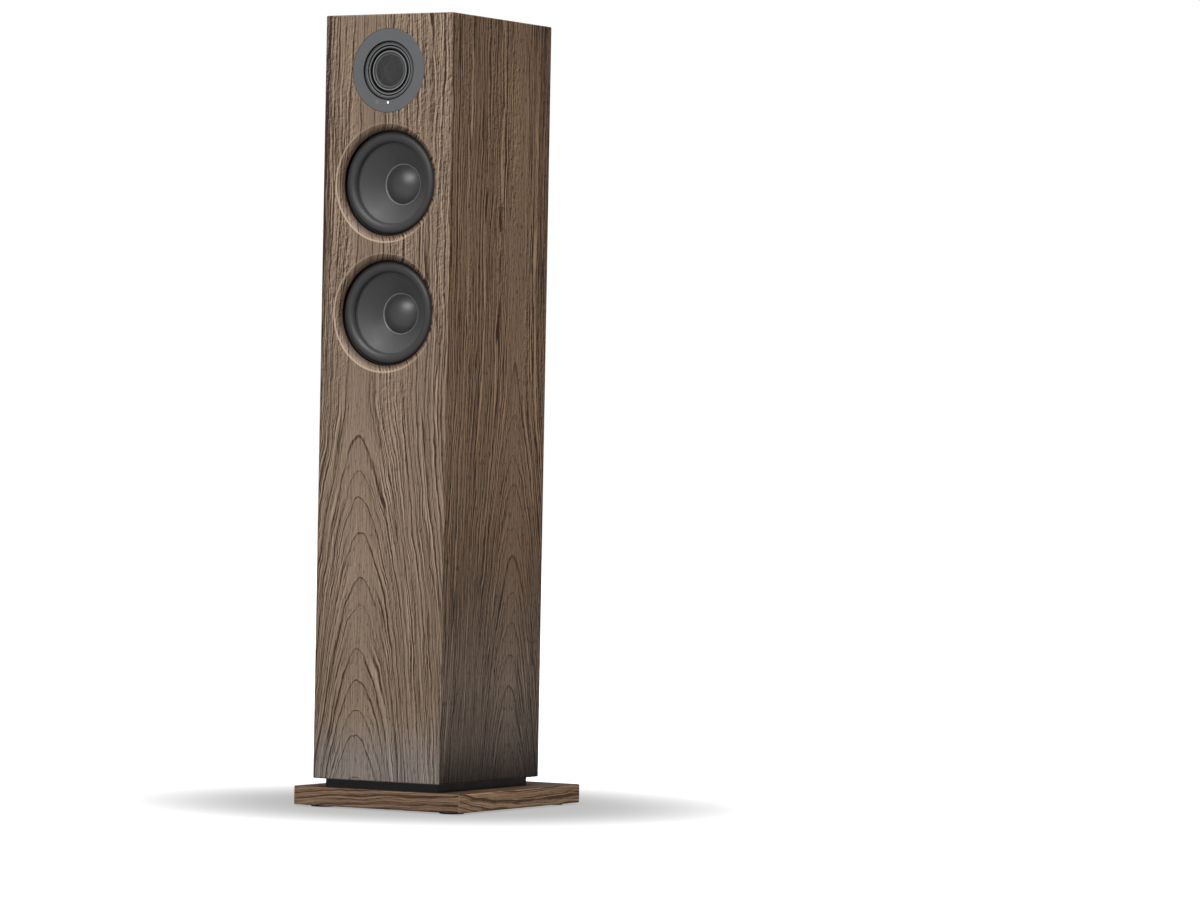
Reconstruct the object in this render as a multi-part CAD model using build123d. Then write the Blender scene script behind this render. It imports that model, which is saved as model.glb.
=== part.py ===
from build123d import *
import math
import os

# Floorstanding active loudspeaker: two bass-mid drivers and a dome tweeter in a mitred, veneered cabinet,
# which stands on a black spacer and a wooden base plate. All sizes are in millimetres. +X is to the right of
# somebody facing the speaker, +Y runs from the front to the back, +Z is up, and the origin is on the floor
# under the middle of the whole object. "Depth" means the distance behind the front face of the cabinet.

# ---------------------------------------------------------------- driving dimensions
CABINET_WIDTH = 166.0
CABINET_DEPTH = 213.0
CABINET_HEIGHT = 850.0
WALL = 16.0                 # panel thickness, every mitred panel
EDGE_RADIUS = 1.5           # softened outer edges of the veneered parts

BASE_WIDTH = 217.0
BASE_DEPTH = 262.0
BASE_THICKNESS = 21.0
BASE_SETBACK = 1.0          # front edge of the base plate behind the front of the cabinet
SPACER_HEIGHT = 9.5
SPACER_SIDE_INSET = 10.0
SPACER_FRONT_INSET = 12.0
SPACER_REAR_INSET = 10.0
FOOT_DROP = 2.0             # how far the rubber feet stand below the base plate
FOOT_THICKNESS = 3.0
FOOT_RADIUS = 14.0
FOOT_INSET = 24.0

TWEETER_DROP = 62.5         # tweeter centre below the top of the cabinet
WOOFER_DROPS = {"upper": 187.0, "lower": 331.0}

REAR_LIP = 7.0              # wall left outside the rear panel
REAR_RECESS = 2.0           # rear panel face inside the rear edge
REAR_THICKNESS = 12.0

# ---------------------------------------------------------------- derived places
FRONT = -(BASE_SETBACK + BASE_DEPTH) / 2
REAR = FRONT + CABINET_DEPTH
BASE_BOTTOM = FOOT_DROP
BASE_TOP = BASE_BOTTOM + BASE_THICKNESS
CABINET_BOTTOM = BASE_TOP + SPACER_HEIGHT
CABINET_TOP = CABINET_BOTTOM + CABINET_HEIGHT
HALF = CABINET_WIDTH / 2
HALF_INSIDE = HALF - WALL
PANEL_BACK = CABINET_DEPTH - REAR_RECESS            # depth of the rear panel's outer face
PANEL_FRONT = PANEL_BACK - REAR_THICKNESS
TWEETER_Z = CABINET_TOP - TWEETER_DROP
WOOFER_Z = {name: CABINET_TOP - drop for name, drop in WOOFER_DROPS.items()}
FIT = 0.05                  # radial clearance of a screw in its hole

PARTS = {}


def keep(name, *shapes):
    """Stores the solids of one node."""
    solids = [solid for shape in shapes for solid in shape.solids()]
    PARTS[name] = solids[0] if len(solids) == 1 else Compound(children=solids)


# ---------------------------------------------------------------- helpers
def block(x, depth, z):
    """A box from three (low, high) pairs, the middle one being a depth behind the front face."""
    size = [pair[1] - pair[0] for pair in (x, depth, z)]
    centre = [sum(pair) / 2 for pair in (x, depth, z)]
    return Pos(centre[0], FRONT + centre[1], centre[2]) * Box(*size)


def rounded_block(x, depth, z, radius):
    """The same box with all its edges rounded."""
    body = block(x, depth, z)
    return fillet(body.edges(), radius)


def turned(*outline):
    """A solid of revolution about local Z. The outline is (radius, depth) points; a 3-tuple of points is an
    arc that starts at the previous point's end."""
    edges = []
    here = outline[0]
    for item in outline[1:]:
        if isinstance(item[0], tuple):
            middle, end = item
            edges.append(ThreePointArc(here, middle, end))
            here = end
        else:
            edges.append(Line(here, item))
            here = item
    if (Vector(*here) - Vector(*outline[0])).length > 1e-6:
        edges.append(Line(here, outline[0]))
    return revolve(Plane.XZ * make_face(Curve() + edges), Axis.Z)


def dome_point(rim_radius, rise, rim_depth, shrink, radius):
    """The point at a radius on a spherical cap that bulges to the front, made smaller by a thickness."""
    sphere = (rim_radius ** 2 + rise ** 2) / (2 * rise)
    centre = rim_depth - rise + sphere
    return radius, centre - math.sqrt((sphere - shrink) ** 2 - radius ** 2)


def dome_shell(rim_radius, rise, rim_depth, thickness):
    """Outline of a closed spherical shell of constant thickness, starting and ending on the axis."""
    def front(radius):
        return dome_point(rim_radius, rise, rim_depth, 0, radius)

    def back(radius):
        return dome_point(rim_radius, rise, rim_depth, thickness, radius)
    inner = rim_radius - thickness * 0.6
    return [front(0), (front(rim_radius / 2), front(rim_radius)), back(inner), (back(inner / 2), back(0))]


def crown(radius, rim, top):
    """The arc item that closes an outline from (radius, rim) to (0, top) with a spherical end."""
    rise = abs(top - rim)
    way = 1 if top > rim else -1
    sphere = (radius ** 2 + rise ** 2) / (2 * rise)
    middle = top + way * (math.sqrt(sphere ** 2 - radius ** 2 / 4) - sphere)
    return (radius / 2, middle), (0, top)


def ring(inner, outer, near, far):
    """A plain ring or disc between two depths, about local Z."""
    if inner <= 0:
        return turned((0, near), (outer, near), (outer, far), (0, far))
    return turned((inner, near), (outer, near), (outer, far), (inner, far))


def on_axis(x, z):
    """Puts a shape whose local Z is depth on the axis at (x, z), with depth 0 at the front face."""
    return Plane(origin=(x, FRONT, z), x_dir=(1, 0, 0), z_dir=(0, 1, 0)).location


def around(radius, degrees):
    """A point on a circle, in driver coordinates: x to the right, anticlockwise seen from the front."""
    angle = math.radians(degrees)
    return radius * math.cos(angle), radius * math.sin(angle)


def prism(plane, points, low, high):
    """A straight prism on a named plane between two offsets along its normal."""
    face = plane.offset(low) * make_face(Polyline(*points, close=True))
    return extrude(face, high - low, dir=plane.z_dir)


# ---------------------------------------------------------------- mitred cabinet
REACH = 2000.0              # longer than anything, for the prisms that split the cabinet
OUTER_BOX = rounded_block((-HALF, HALF), (0, CABINET_DEPTH), (CABINET_BOTTOM, CABINET_TOP), EDGE_RADIUS)


def plan_prism(points):
    """Outline in (x, y), running the full height."""
    return prism(Plane.XY, points, -REACH, REACH)


def front_view_prism(points):
    """Outline in (x, z), running the full depth."""
    return prism(Plane.XZ, points, -REACH, REACH)


def side_view_prism(points):
    """Outline in (y, z), running the full width."""
    return prism(Plane.YZ, points, -REACH, REACH)


def rear_rebate():
    """The step round the back of the cabinet that the rear panel sits in."""
    lip = HALF - REAR_LIP
    heights = (CABINET_BOTTOM + REAR_LIP, CABINET_TOP - REAR_LIP)
    return block((-lip, lip), (PANEL_FRONT, CABINET_DEPTH + 1), heights)


def side_panel(side):
    """Left (-1) or right (+1) wall, mitred to the baffle, the top and the bottom."""
    out = side * HALF
    inside = side * HALF_INSIDE
    plan = plan_prism([(out, FRONT), (out, REAR), (inside, REAR), (inside, FRONT + WALL)])
    face = front_view_prism([
        (out, CABINET_BOTTOM), (out, CABINET_TOP),
        (inside, CABINET_TOP - WALL), (inside, CABINET_BOTTOM + WALL)])
    return (OUTER_BOX & plan & face) - rear_rebate()


def end_panel(outer_z, inner_z):
    """Top or bottom panel, mitred to the baffle and the side walls."""
    face = front_view_prism([
        (-HALF, outer_z), (HALF, outer_z), (HALF_INSIDE, inner_z), (-HALF_INSIDE, inner_z)])
    side = side_view_prism([(FRONT, outer_z), (REAR, outer_z), (REAR, inner_z), (FRONT + WALL, inner_z)])
    return (OUTER_BOX & face & side) - rear_rebate()


def blank_baffle():
    """The front panel before its driver openings are cut."""
    back = FRONT + WALL
    plan = plan_prism([(-HALF, FRONT), (HALF, FRONT), (HALF_INSIDE, back), (-HALF_INSIDE, back)])
    side = side_view_prism([
        (FRONT, CABINET_BOTTOM), (FRONT, CABINET_TOP),
        (back, CABINET_TOP - WALL), (back, CABINET_BOTTOM + WALL)])
    return OUTER_BOX & plan & side


# ---------------------------------------------------------------- screws
def pan_screw(shank, length, head, head_height):
    """A pan-head screw along local Z: the head's seat at 0, the shank towards -Z."""
    shaft = ring(0, shank, -length, 0)
    cap = turned((0, 0), (head, 0), (head, head_height * 0.5),
                 ((head * 0.8, head_height * 0.9), (head * 0.45, head_height)), (0, head_height))
    slot = Box(head * 1.1, head * 0.28, head_height) + Box(head * 0.28, head * 1.1, head_height)
    return shaft + cap - Pos(0, 0, head_height) * slot


def countersunk_screw(shank, length, head):
    """A countersunk screw along local Z: the head flush with 0, the shank towards -Z."""
    body = turned((0, -length), (shank, -length), (shank, shank - head), (head, 0), (0, 0))
    slot = Box(head * 1.1, head * 0.3, head * 0.7) + Box(head * 0.3, head * 1.1, head * 0.7)
    return body - slot


# ---------------------------------------------------------------- woofer
RIM_RADIUS = 66.0           # outer edge of the flared recess in the baffle
RIM_ROUND = 2.0             # radius of the recess's softened rim
RIM_TURN = 43.0             # degrees that the rim turns before the flare's straight wall
THROAT_RADIUS = 58.8
THROAT_DEPTH = 6.0
UNDERCUT_RADIUS = 61.0      # wider bore behind the throat, cut from the back
UNDERCUT_DEPTH = 7.0
SEAT_DEPTH = 13.0           # baffle material left in front of the driver's flange
PILOT_DEPTH = 6.0           # how near the front the screw pilot holes come
DRIVER_SCREW_RADIUS = 1.75
FLANGE_RADIUS = 65.4
FLANGE_NEAR = 13.8
FLANGE_FAR = 16.3
EAR_CIRCLE = 69.0
EAR_RADIUS = 6.5
EAR_ANGLES = (45, 135, 225, 315)
LIP_RADIUS = 58.6           # outer edge of the surround
LIP_NEAR = 11.5
LIP_FAR = 12.4
SURROUND_MIDDLE = 51.2
SURROUND_ROLL = 5.8
SURROUND_SKIN = 0.8
CONE_EDGE_RADIUS = 44.6
CONE_EDGE_DEPTH = 15.2
CONE_NECK_RADIUS = 13.05
CONE_NECK_DEPTH = 44.0
CONE_NECK_END = 48.0
CONE_SKIN = 0.8
CAP_RADIUS = 22.0
CAP_RISE = 9.2
CAP_SKIN = 0.6
BOBBIN_INNER = 12.65
BOBBIN_OUTER = 13.0
COIL_OUTER = 13.8
SPIDER_DEPTH = 52.4
SPIDER_LANDING = 30.0       # radius where the corrugations end
SPIDER_OUTER = 34.0
SPIDER_WAVES = 5
SPIDER_SWING = 1.0          # half the height of a corrugation
SPIDER_SKIN = 0.5
BOBBIN_END = 72.0
COIL_NEAR = 57.5
COIL_FAR = 69.5
PLATE_NEAR = 61.0           # front and back of the top plate
PLATE_FAR = 66.0
MAGNET_FAR = 79.0
YOKE_FAR = 84.0
MOTOR_RADIUS = 36.0


def cone_depth(radius):
    """Depth of the front of the cone at a radius."""
    slope = (CONE_NECK_DEPTH - CONE_EDGE_DEPTH) / (CONE_EDGE_RADIUS - CONE_NECK_RADIUS)
    return CONE_EDGE_DEPTH + (CONE_EDGE_RADIUS - radius) * slope


def woofer_opening():
    """Everything that one woofer removes from the baffle, on its axis."""
    def rim(degrees):
        turn = math.radians(degrees)
        return RIM_RADIUS - RIM_ROUND * math.sin(turn), RIM_ROUND * (1 - math.cos(turn))
    flare = turned((0, -1), (RIM_RADIUS, -1), rim(0), (rim(RIM_TURN / 2), rim(RIM_TURN)),
                   (THROAT_RADIUS, THROAT_DEPTH), (THROAT_RADIUS, UNDERCUT_DEPTH),
                   (UNDERCUT_RADIUS, UNDERCUT_DEPTH), (UNDERCUT_RADIUS, WALL + 1), (0, WALL + 1))
    seat = ring(0, FLANGE_RADIUS + 0.4, SEAT_DEPTH, WALL + 1)
    for angle in EAR_ANGLES:
        spot = Pos(*around(EAR_CIRCLE, angle), 0)
        seat += spot * ring(0, EAR_RADIUS + 0.5, SEAT_DEPTH, WALL + 1)
        seat += spot * ring(0, DRIVER_SCREW_RADIUS + FIT, PILOT_DEPTH, WALL + 1)
    return flare + seat


def woofer_basket():
    """Pressed frame: flange with a raised ring and four ears, conical wall with four windows, spider ledge,
    motor seat."""
    body = turned((56.6, LIP_FAR), (LIP_RADIUS, LIP_FAR), (LIP_RADIUS, FLANGE_NEAR),
                  (FLANGE_RADIUS, FLANGE_NEAR), (FLANGE_RADIUS, FLANGE_FAR), (58.8, FLANGE_FAR),
                  (38.0, 55.0), (38.0, PLATE_NEAR),
                  (20.0, PLATE_NEAR), (20.0, 58.5), (35.6, 58.5), (35.6, 55.0), (30.5, 55.0), (30.5, 53.0),
                  (36.0, 53.0), (56.6, 16.5))
    windows = ring(0, 80, 20.0, 50.5)
    for angle in (45, 135):
        windows -= Rot(0, 0, angle) * Pos(0, 0, 35) * Box(200, 15, 60)
    body -= windows
    for angle in EAR_ANGLES:
        spot = Pos(*around(EAR_CIRCLE, angle), 0)
        body += spot * ring(0, EAR_RADIUS, FLANGE_NEAR, FLANGE_FAR) - ring(0, 60, 0, 30)
    for angle in EAR_ANGLES:
        body -= Pos(*around(EAR_CIRCLE, angle), 0) * ring(0, 2.1, 0, 30)
    return body


def woofer_surround():
    """Half-roll rubber surround with its inner and outer landings."""
    out = SURROUND_ROLL
    skin = SURROUND_ROLL - SURROUND_SKIN
    mid = SURROUND_MIDDLE
    start = mid + math.sqrt(out ** 2 - (LIP_FAR - LIP_NEAR) ** 2)
    landing = CONE_EDGE_DEPTH - SURROUND_SKIN
    return turned((LIP_RADIUS, LIP_NEAR), (start, LIP_NEAR),
                  ((mid, LIP_FAR - out), (mid - out, LIP_FAR)), (mid - out, landing),
                  (CONE_EDGE_RADIUS, landing), (CONE_EDGE_RADIUS, CONE_EDGE_DEPTH),
                  (mid - skin, CONE_EDGE_DEPTH), (mid - skin, LIP_FAR),
                  ((mid, LIP_FAR - skin), (mid + skin, LIP_FAR)), (LIP_RADIUS, LIP_FAR))


def woofer_cone():
    """Paper cone with a glued lip at the edge and a neck round the voice coil former."""
    edge = CONE_EDGE_RADIUS
    neck = CONE_NECK_RADIUS
    skin = CONE_SKIN
    return turned((edge + 1.5, CONE_EDGE_DEPTH), (edge, CONE_EDGE_DEPTH), (neck, CONE_NECK_DEPTH),
                  (neck, CONE_NECK_END), (neck + skin, CONE_NECK_END),
                  (neck + skin, CONE_NECK_DEPTH + skin / 2),
                  (edge + skin / 2, CONE_EDGE_DEPTH + skin), (edge + 1.5, CONE_EDGE_DEPTH + skin))


def woofer_dust_cap():
    """Domed cap glued to the front of the cone."""
    return turned(*dome_shell(CAP_RADIUS, CAP_RISE, cone_depth(CAP_RADIUS) - 0.2, CAP_SKIN))


def woofer_spider():
    """Corrugated fabric suspension between the former and the basket ledge."""
    steps = SPIDER_WAVES * 4
    front = []
    for step in range(steps + 1):
        radius = BOBBIN_OUTER + (SPIDER_LANDING - BOBBIN_OUTER) * step / steps
        wave = math.sin(2 * math.pi * SPIDER_WAVES * step / steps)
        front.append((radius, SPIDER_DEPTH + SPIDER_SWING * wave))
    front.append((SPIDER_OUTER, SPIDER_DEPTH + 0.1))
    back = [(radius, depth + SPIDER_SKIN) for radius, depth in reversed(front)]
    return turned(*front, *back)


def woofer_voice_coil():
    """The former and, round it, the winding."""
    bobbin = ring(BOBBIN_INNER, BOBBIN_OUTER, CONE_NECK_DEPTH, BOBBIN_END)
    winding = ring(BOBBIN_OUTER, COIL_OUTER, COIL_NEAR, COIL_FAR)
    return bobbin, winding


def woofer_yoke():
    """Back plate and vented pole piece in one."""
    return turned((4.0, 59.8), (11.6, 59.8), (12.25, 60.5), (12.25, MAGNET_FAR), (MOTOR_RADIUS, MAGNET_FAR),
                  (MOTOR_RADIUS, YOKE_FAR - 1.0), (MOTOR_RADIUS - 1.0, YOKE_FAR), (4.0, YOKE_FAR))


def woofer_terminal_tag():
    """Insulating tag on the basket with two solder lugs that point backwards."""
    board = Pos(-42.5, 0, 53.8) * Box(12.0, 15.0, 1.6)
    lugs = [Pos(-45.0, side * 4.0, 58.6) * Box(0.8, 3.0, 8.0) for side in (-1, 1)]
    return board, lugs


gaskets = []
top_plates = []
tags = []
driver_screws = []
baffle_cuts = []
for which, height in WOOFER_Z.items():
    here = on_axis(0, height)
    board, lugs = woofer_terminal_tag()
    keep(f"woofer_basket_{which}", here * (woofer_basket() - board))
    keep(f"woofer_surround_{which}", here * woofer_surround())
    keep(f"woofer_cone_{which}", here * woofer_cone())
    keep(f"woofer_dust_cap_{which}", here * woofer_dust_cap())
    keep(f"woofer_spider_{which}", here * woofer_spider())
    keep(f"woofer_voice_coil_{which}", *(here * piece for piece in woofer_voice_coil()))
    keep(f"woofer_magnet_{which}", here * turned(
        (18.0, PLATE_FAR), (37.2, PLATE_FAR), (38.0, PLATE_FAR + 0.8), (38.0, MAGNET_FAR - 0.8),
        (37.2, MAGNET_FAR), (18.0, MAGNET_FAR)))
    keep(f"woofer_yoke_{which}", here * woofer_yoke())
    gaskets.append(here * ring(UNDERCUT_RADIUS + 0.4, FLANGE_RADIUS, SEAT_DEPTH, FLANGE_NEAR))
    top_plates.append(here * ring(14.3, MOTOR_RADIUS, PLATE_NEAR, PLATE_FAR))
    tags += [here * piece for piece in (board, *lugs)]
    baffle_cuts.append(here * woofer_opening())
    for angle in EAR_ANGLES:
        spot = Pos(*around(EAR_CIRCLE, angle), FLANGE_FAR)
        driver_screws.append(here * spot * pan_screw(DRIVER_SCREW_RADIUS, 9.8, 3.7, 2.4))
keep("woofer_gaskets", *gaskets)
keep("woofer_top_plates", *top_plates)
keep("woofer_terminals", *tags)

# ---------------------------------------------------------------- tweeter
FACE_RADIUS = 46.6
FACE_THICKNESS = 4.0
HUB_RADIUS = 34.2
HUB_BACK = 10.0
FACE_SCREW_CIRCLE = 42.0
FACE_SCREW_ANGLES = (90, 210, 330)
CHASSIS_SCREW_CIRCLE = 28.0
CHASSIS_SCREW_ANGLES = (30, 150, 270)
LED_DROP = 35.7             # indicator below the tweeter's centre
LED_RADIUS = 1.35
WINDOW_OFFSET = (-14.1, -35.0)
WINDOW_RADIUS = 2.5
TWEETER_PLATE_FAR = 16.0
TWEETER_MAGNET_FAR = 24.0


def tweeter_opening():
    """Everything that the tweeter and its indicator remove from the baffle."""
    cut = ring(0, FACE_RADIUS + 0.3, -1, FACE_THICKNESS) + ring(0, HUB_RADIUS + 0.8, 0, WALL + 1)
    cut += Pos(-7.5, 37.5, (FACE_THICKNESS + WALL + 1) / 2) * Box(31, 15, WALL + 1 - FACE_THICKNESS)
    for angle in FACE_SCREW_ANGLES:
        cut += Pos(*around(FACE_SCREW_CIRCLE, -angle), 0) * ring(0, 1.5 + FIT, 0, WALL + 1)
    return cut


def tweeter_faceplate():
    """Stepped waveguide plate with holes for the indicator and the infrared window."""
    body = turned((19.4, 2.6), (22.0, 2.6), (22.4, 6.0), (23.9, 6.0), (24.3, 2.3), (26.6, 2.3), (26.9, 4.4),
                  (28.3, 4.4), (28.6, 1.5), (31.3, 1.5), (31.6, 2.8), (32.6, 2.8), (32.9, 0.0),
                  (FACE_RADIUS - 0.4, 0.0), (FACE_RADIUS, 0.4), (FACE_RADIUS, FACE_THICKNESS),
                  (HUB_RADIUS, FACE_THICKNESS), (HUB_RADIUS, HUB_BACK), (18.2, HUB_BACK), (18.2, 4.2),
                  (19.4, 4.2))
    body -= Pos(0, LED_DROP, 0) * ring(0, LED_RADIUS + FIT, -1, 5)
    body -= Pos(0, LED_DROP, 0) * ring(0, 2.6, FACE_THICKNESS, HUB_BACK + 1)
    body -= Pos(WINDOW_OFFSET[0], -WINDOW_OFFSET[1], 0) * ring(0, WINDOW_RADIUS + FIT, -1, 5)
    for angle in FACE_SCREW_ANGLES:
        body -= Pos(*around(FACE_SCREW_CIRCLE, -angle), 0) * ring(0, 1.5 + FIT, 1.2, 5)
    for angle in CHASSIS_SCREW_ANGLES:
        body -= Pos(*around(CHASSIS_SCREW_CIRCLE, -angle), 0) * ring(0, 1.2 + FIT, 5.8, HUB_BACK + 1)
    for x in (-20.0, 5.5):
        body += Pos(x, 40.5, (FACE_THICKNESS + 7.0) / 2) * Cylinder(1.2, 7.0 - FACE_THICKNESS)
    return body


tweeter = on_axis(0, TWEETER_Z)
baffle_cuts.append(tweeter * tweeter_opening())
keep("tweeter_faceplate", tweeter * tweeter_faceplate())
keep("tweeter_mesh", tweeter * turned(*dome_shell(19.3, 0.9, 3.5, 0.6)))
keep("tweeter_dome", tweeter * turned(*dome_shell(12.6, 4.2, 10.4, 0.35)))
keep("tweeter_surround", tweeter * turned(
    (18.0, 10.75), (16.4, 10.75), ((14.7, 9.1), (13.0, 10.75)), (12.6, 10.75), (12.6, 10.4),
    (13.0, 10.4), ((14.7, 8.7), (16.4, 10.4)), (18.0, 10.4)))
tweeter_bobbin = ring(12.55, 12.75, 10.75, 16.4)
tweeter_winding = ring(12.75, 13.1, 12.8, 15.8)
keep("tweeter_voice_coil", tweeter * tweeter_bobbin, tweeter * tweeter_winding)
chassis = turned((14.2, 11.1), (20.5, 11.1), (20.5, HUB_BACK), (31.0, HUB_BACK), (31.0, 13.0), (14.2, 13.0))
for angle in CHASSIS_SCREW_ANGLES:
    chassis -= Pos(*around(CHASSIS_SCREW_CIRCLE, -angle), 0) * ring(0, 1.4, 0, 20)
keep("tweeter_chassis", tweeter * chassis)
keep("tweeter_top_plate", tweeter * ring(13.5, 24.0, 13.0, TWEETER_PLATE_FAR))
keep("tweeter_magnet", tweeter * turned(
    (15.5, TWEETER_PLATE_FAR), (24.5, TWEETER_PLATE_FAR), (25.0, TWEETER_PLATE_FAR + 0.5),
    (25.0, TWEETER_MAGNET_FAR - 0.5), (24.5, TWEETER_MAGNET_FAR), (15.5, TWEETER_MAGNET_FAR)))
keep("tweeter_yoke", tweeter * turned(
    (0, 12.6), (11.9, 12.6), (12.2, 12.9), (12.2, TWEETER_MAGNET_FAR), (24.0, TWEETER_MAGNET_FAR),
    (24.0, 26.5), (23.5, 27.0), (0, 27.0)))
for angle in FACE_SCREW_ANGLES:
    spot = Pos(*around(FACE_SCREW_CIRCLE, -angle), WALL)
    driver_screws.append(tweeter * spot * pan_screw(1.5, WALL - 1.5, 2.9, 2.0))
for angle in CHASSIS_SCREW_ANGLES:
    spot = Pos(*around(CHASSIS_SCREW_CIRCLE, -angle), 13.0)
    driver_screws.append(tweeter * spot * pan_screw(1.2, 7.0, 2.4, 1.8))
keep("driver_screws", *driver_screws)

# The indicator: a light pipe, an infrared window and the small board behind them.
keep("status_led", tweeter * Pos(0, LED_DROP, 0) * turned(
    (0, 6.2), (LED_RADIUS, 6.2), (LED_RADIUS, 5.0), (2.2, 5.0), (2.2, 4.0), (LED_RADIUS, 4.0),
    (LED_RADIUS, 0.3), crown(LED_RADIUS, 0.3, 0)))
keep("infrared_window", tweeter * Pos(WINDOW_OFFSET[0], -WINDOW_OFFSET[1], 0) * turned(
    (0, 0.0), (WINDOW_RADIUS, 0.0), (WINDOW_RADIUS, 4.0), (3.3, 4.0), (3.3, 4.8), (0, 4.8)))
board = Pos(-7.3, 39.0, 7.7) * Box(29.0, 9.0, 1.4)
led_chip = Pos(0, LED_DROP + 0.3, 6.6) * Box(2.0, 2.0, 0.8)
receiver = Pos(WINDOW_OFFSET[0], 37.5, 6.0) * Box(5.0, 5.6, 2.0)
connector = Pos(-5.0, 39.5, 10.4) * Box(8.0, 5.0, 4.0)
keep("indicator_board", *(tweeter * piece for piece in (board, led_chip, receiver, connector)))

# ---------------------------------------------------------------- cabinet panels
left_panel = side_panel(-1)
right_panel = side_panel(1)
top_panel = end_panel(CABINET_TOP, CABINET_TOP - WALL)
bottom_panel = end_panel(CABINET_BOTTOM, CABINET_BOTTOM + WALL)
baffle = blank_baffle()
for cut in baffle_cuts:
    baffle -= cut
keep("front_baffle", baffle)
keep("top_panel", top_panel)

BRACE_THICKNESS = 12.0
BRACE_HEIGHTS = {"upper_brace": sum(WOOFER_Z.values()) / 2, "lower_brace": WOOFER_Z["lower"] - 96.5}


def window_brace(height):
    """A shelf right across the cabinet with a large rounded window."""
    levels = (height - BRACE_THICKNESS / 2, height + BRACE_THICKNESS / 2)
    shelf = block((-HALF_INSIDE, HALF_INSIDE), (WALL, PANEL_FRONT), levels)
    window = block((-46, 46), (WALL + 28, PANEL_FRONT - 26), (levels[0] - 1, levels[1] + 1))
    return shelf - fillet(window.edges().filter_by(Axis.Z), 16)


for name, height in BRACE_HEIGHTS.items():
    keep(name, window_brace(height))

# ---------------------------------------------------------------- rear panel, port and amplifier
PORT_Z = 402.0
PORT_RADIUS = 23.0
PORT_TUBE_RADIUS = 25.8
PORT_FLANGE_RADIUS = 37.8
PORT_FLANGE_NEAR = PANEL_BACK - 4.0
PORT_INNER_END = 95.0
PORT_FLARE = 7.0

PLATE_HALF_WIDTH = 62.0
PLATE_BOTTOM = 76.0
PLATE_TOP = 326.0
PLATE_THICKNESS = 2.0
PLATE_LAP = 7.0             # how far the amplifier plate covers the rear panel round its cut-out
PLATE_FACE = PANEL_BACK + PLATE_THICKNESS
PLATE_CUT = (205.0, 220.0)  # depths that every hole through the amplifier plate spans
PLATE_SCREW_X = PLATE_HALF_WIDTH - 3.5
PLATE_SCREW_HEIGHTS = [PLATE_BOTTOM + 4 + step * (PLATE_TOP - PLATE_BOTTOM - 8) / 3 for step in range(4)]

REAR_SCREW_X = HALF - REAR_LIP - 4.5
REAR_SCREW_HEIGHTS = [CABINET_BOTTOM + 40 + step * (CABINET_HEIGHT - 80) / 5 for step in range(6)]
REAR_SCREW_LENGTH = 28.0
REAR_SCREW_RADIUS = 1.7
REAR_SCREW_HEAD = 3.5

BOARD_NEAR = 184.4          # depths of the two faces of the boards in the electronics housing
BOARD_FAR = 186.0
BUTTON_AT = (-38.0, 298.0)
DIGITAL_AT = (14.0, 298.0)
JACKS_AT = [(-38.0, 262.0), (-14.0, 262.0), (30.0, 262.0)]
POSTS_AT = {"black": (-9.5, 212.0), "red": (9.5, 212.0)}
INLET_AT = (-27.0, 112.0)
SWITCH_AT = (27.0, 112.0)


def port_tube():
    """Flared reflex port with a flange let into the rear panel."""
    mouth = PANEL_BACK - PORT_FLARE
    diagonal = PORT_FLARE * (1 - math.sqrt(0.5))
    return turned((PORT_RADIUS, mouth),
                  ((PORT_RADIUS + diagonal, PANEL_BACK - diagonal), (PORT_RADIUS + PORT_FLARE, PANEL_BACK)),
                  (PORT_FLANGE_RADIUS - 0.6, PANEL_BACK), (PORT_FLANGE_RADIUS, PANEL_BACK - 0.6),
                  (PORT_FLANGE_RADIUS, PORT_FLANGE_NEAR), (PORT_TUBE_RADIUS, PORT_FLANGE_NEAR),
                  (PORT_TUBE_RADIUS, PORT_INNER_END + 3), (PORT_TUBE_RADIUS + 1.5, PORT_INNER_END + 1.2),
                  (PORT_TUBE_RADIUS + 1.5, PORT_INNER_END), (PORT_RADIUS + 3, PORT_INNER_END),
                  ((PORT_RADIUS + 0.9, PORT_INNER_END + 0.9), (PORT_RADIUS, PORT_INNER_END + 3)))


def rear_panel():
    """Inset rear panel with the port hole, the amplifier cut-out and its screw holes."""
    lip = HALF - REAR_LIP - 0.15
    body = block((-lip, lip), (PANEL_FRONT, PANEL_BACK),
                 (CABINET_BOTTOM + REAR_LIP + 0.15, CABINET_TOP - REAR_LIP - 0.15))
    body -= on_axis(0, PORT_Z) * ring(0, PORT_TUBE_RADIUS + 0.2, PANEL_FRONT - 1, PANEL_BACK + 1)
    body -= on_axis(0, PORT_Z) * ring(0, PORT_FLANGE_RADIUS + 0.2, PORT_FLANGE_NEAR, PANEL_BACK + 1)
    edge = PLATE_HALF_WIDTH - PLATE_LAP
    levels = (PLATE_BOTTOM + PLATE_LAP, PLATE_TOP - PLATE_LAP)
    body -= block((-edge, edge), (PANEL_FRONT - 1, PANEL_BACK + 1), levels)
    return body


INLET_FLOOR = 201.0         # bottom of the mains socket
PIN_X = 4.3
PIN_RADIUS = 1.2
PIN_END = 212.0


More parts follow.
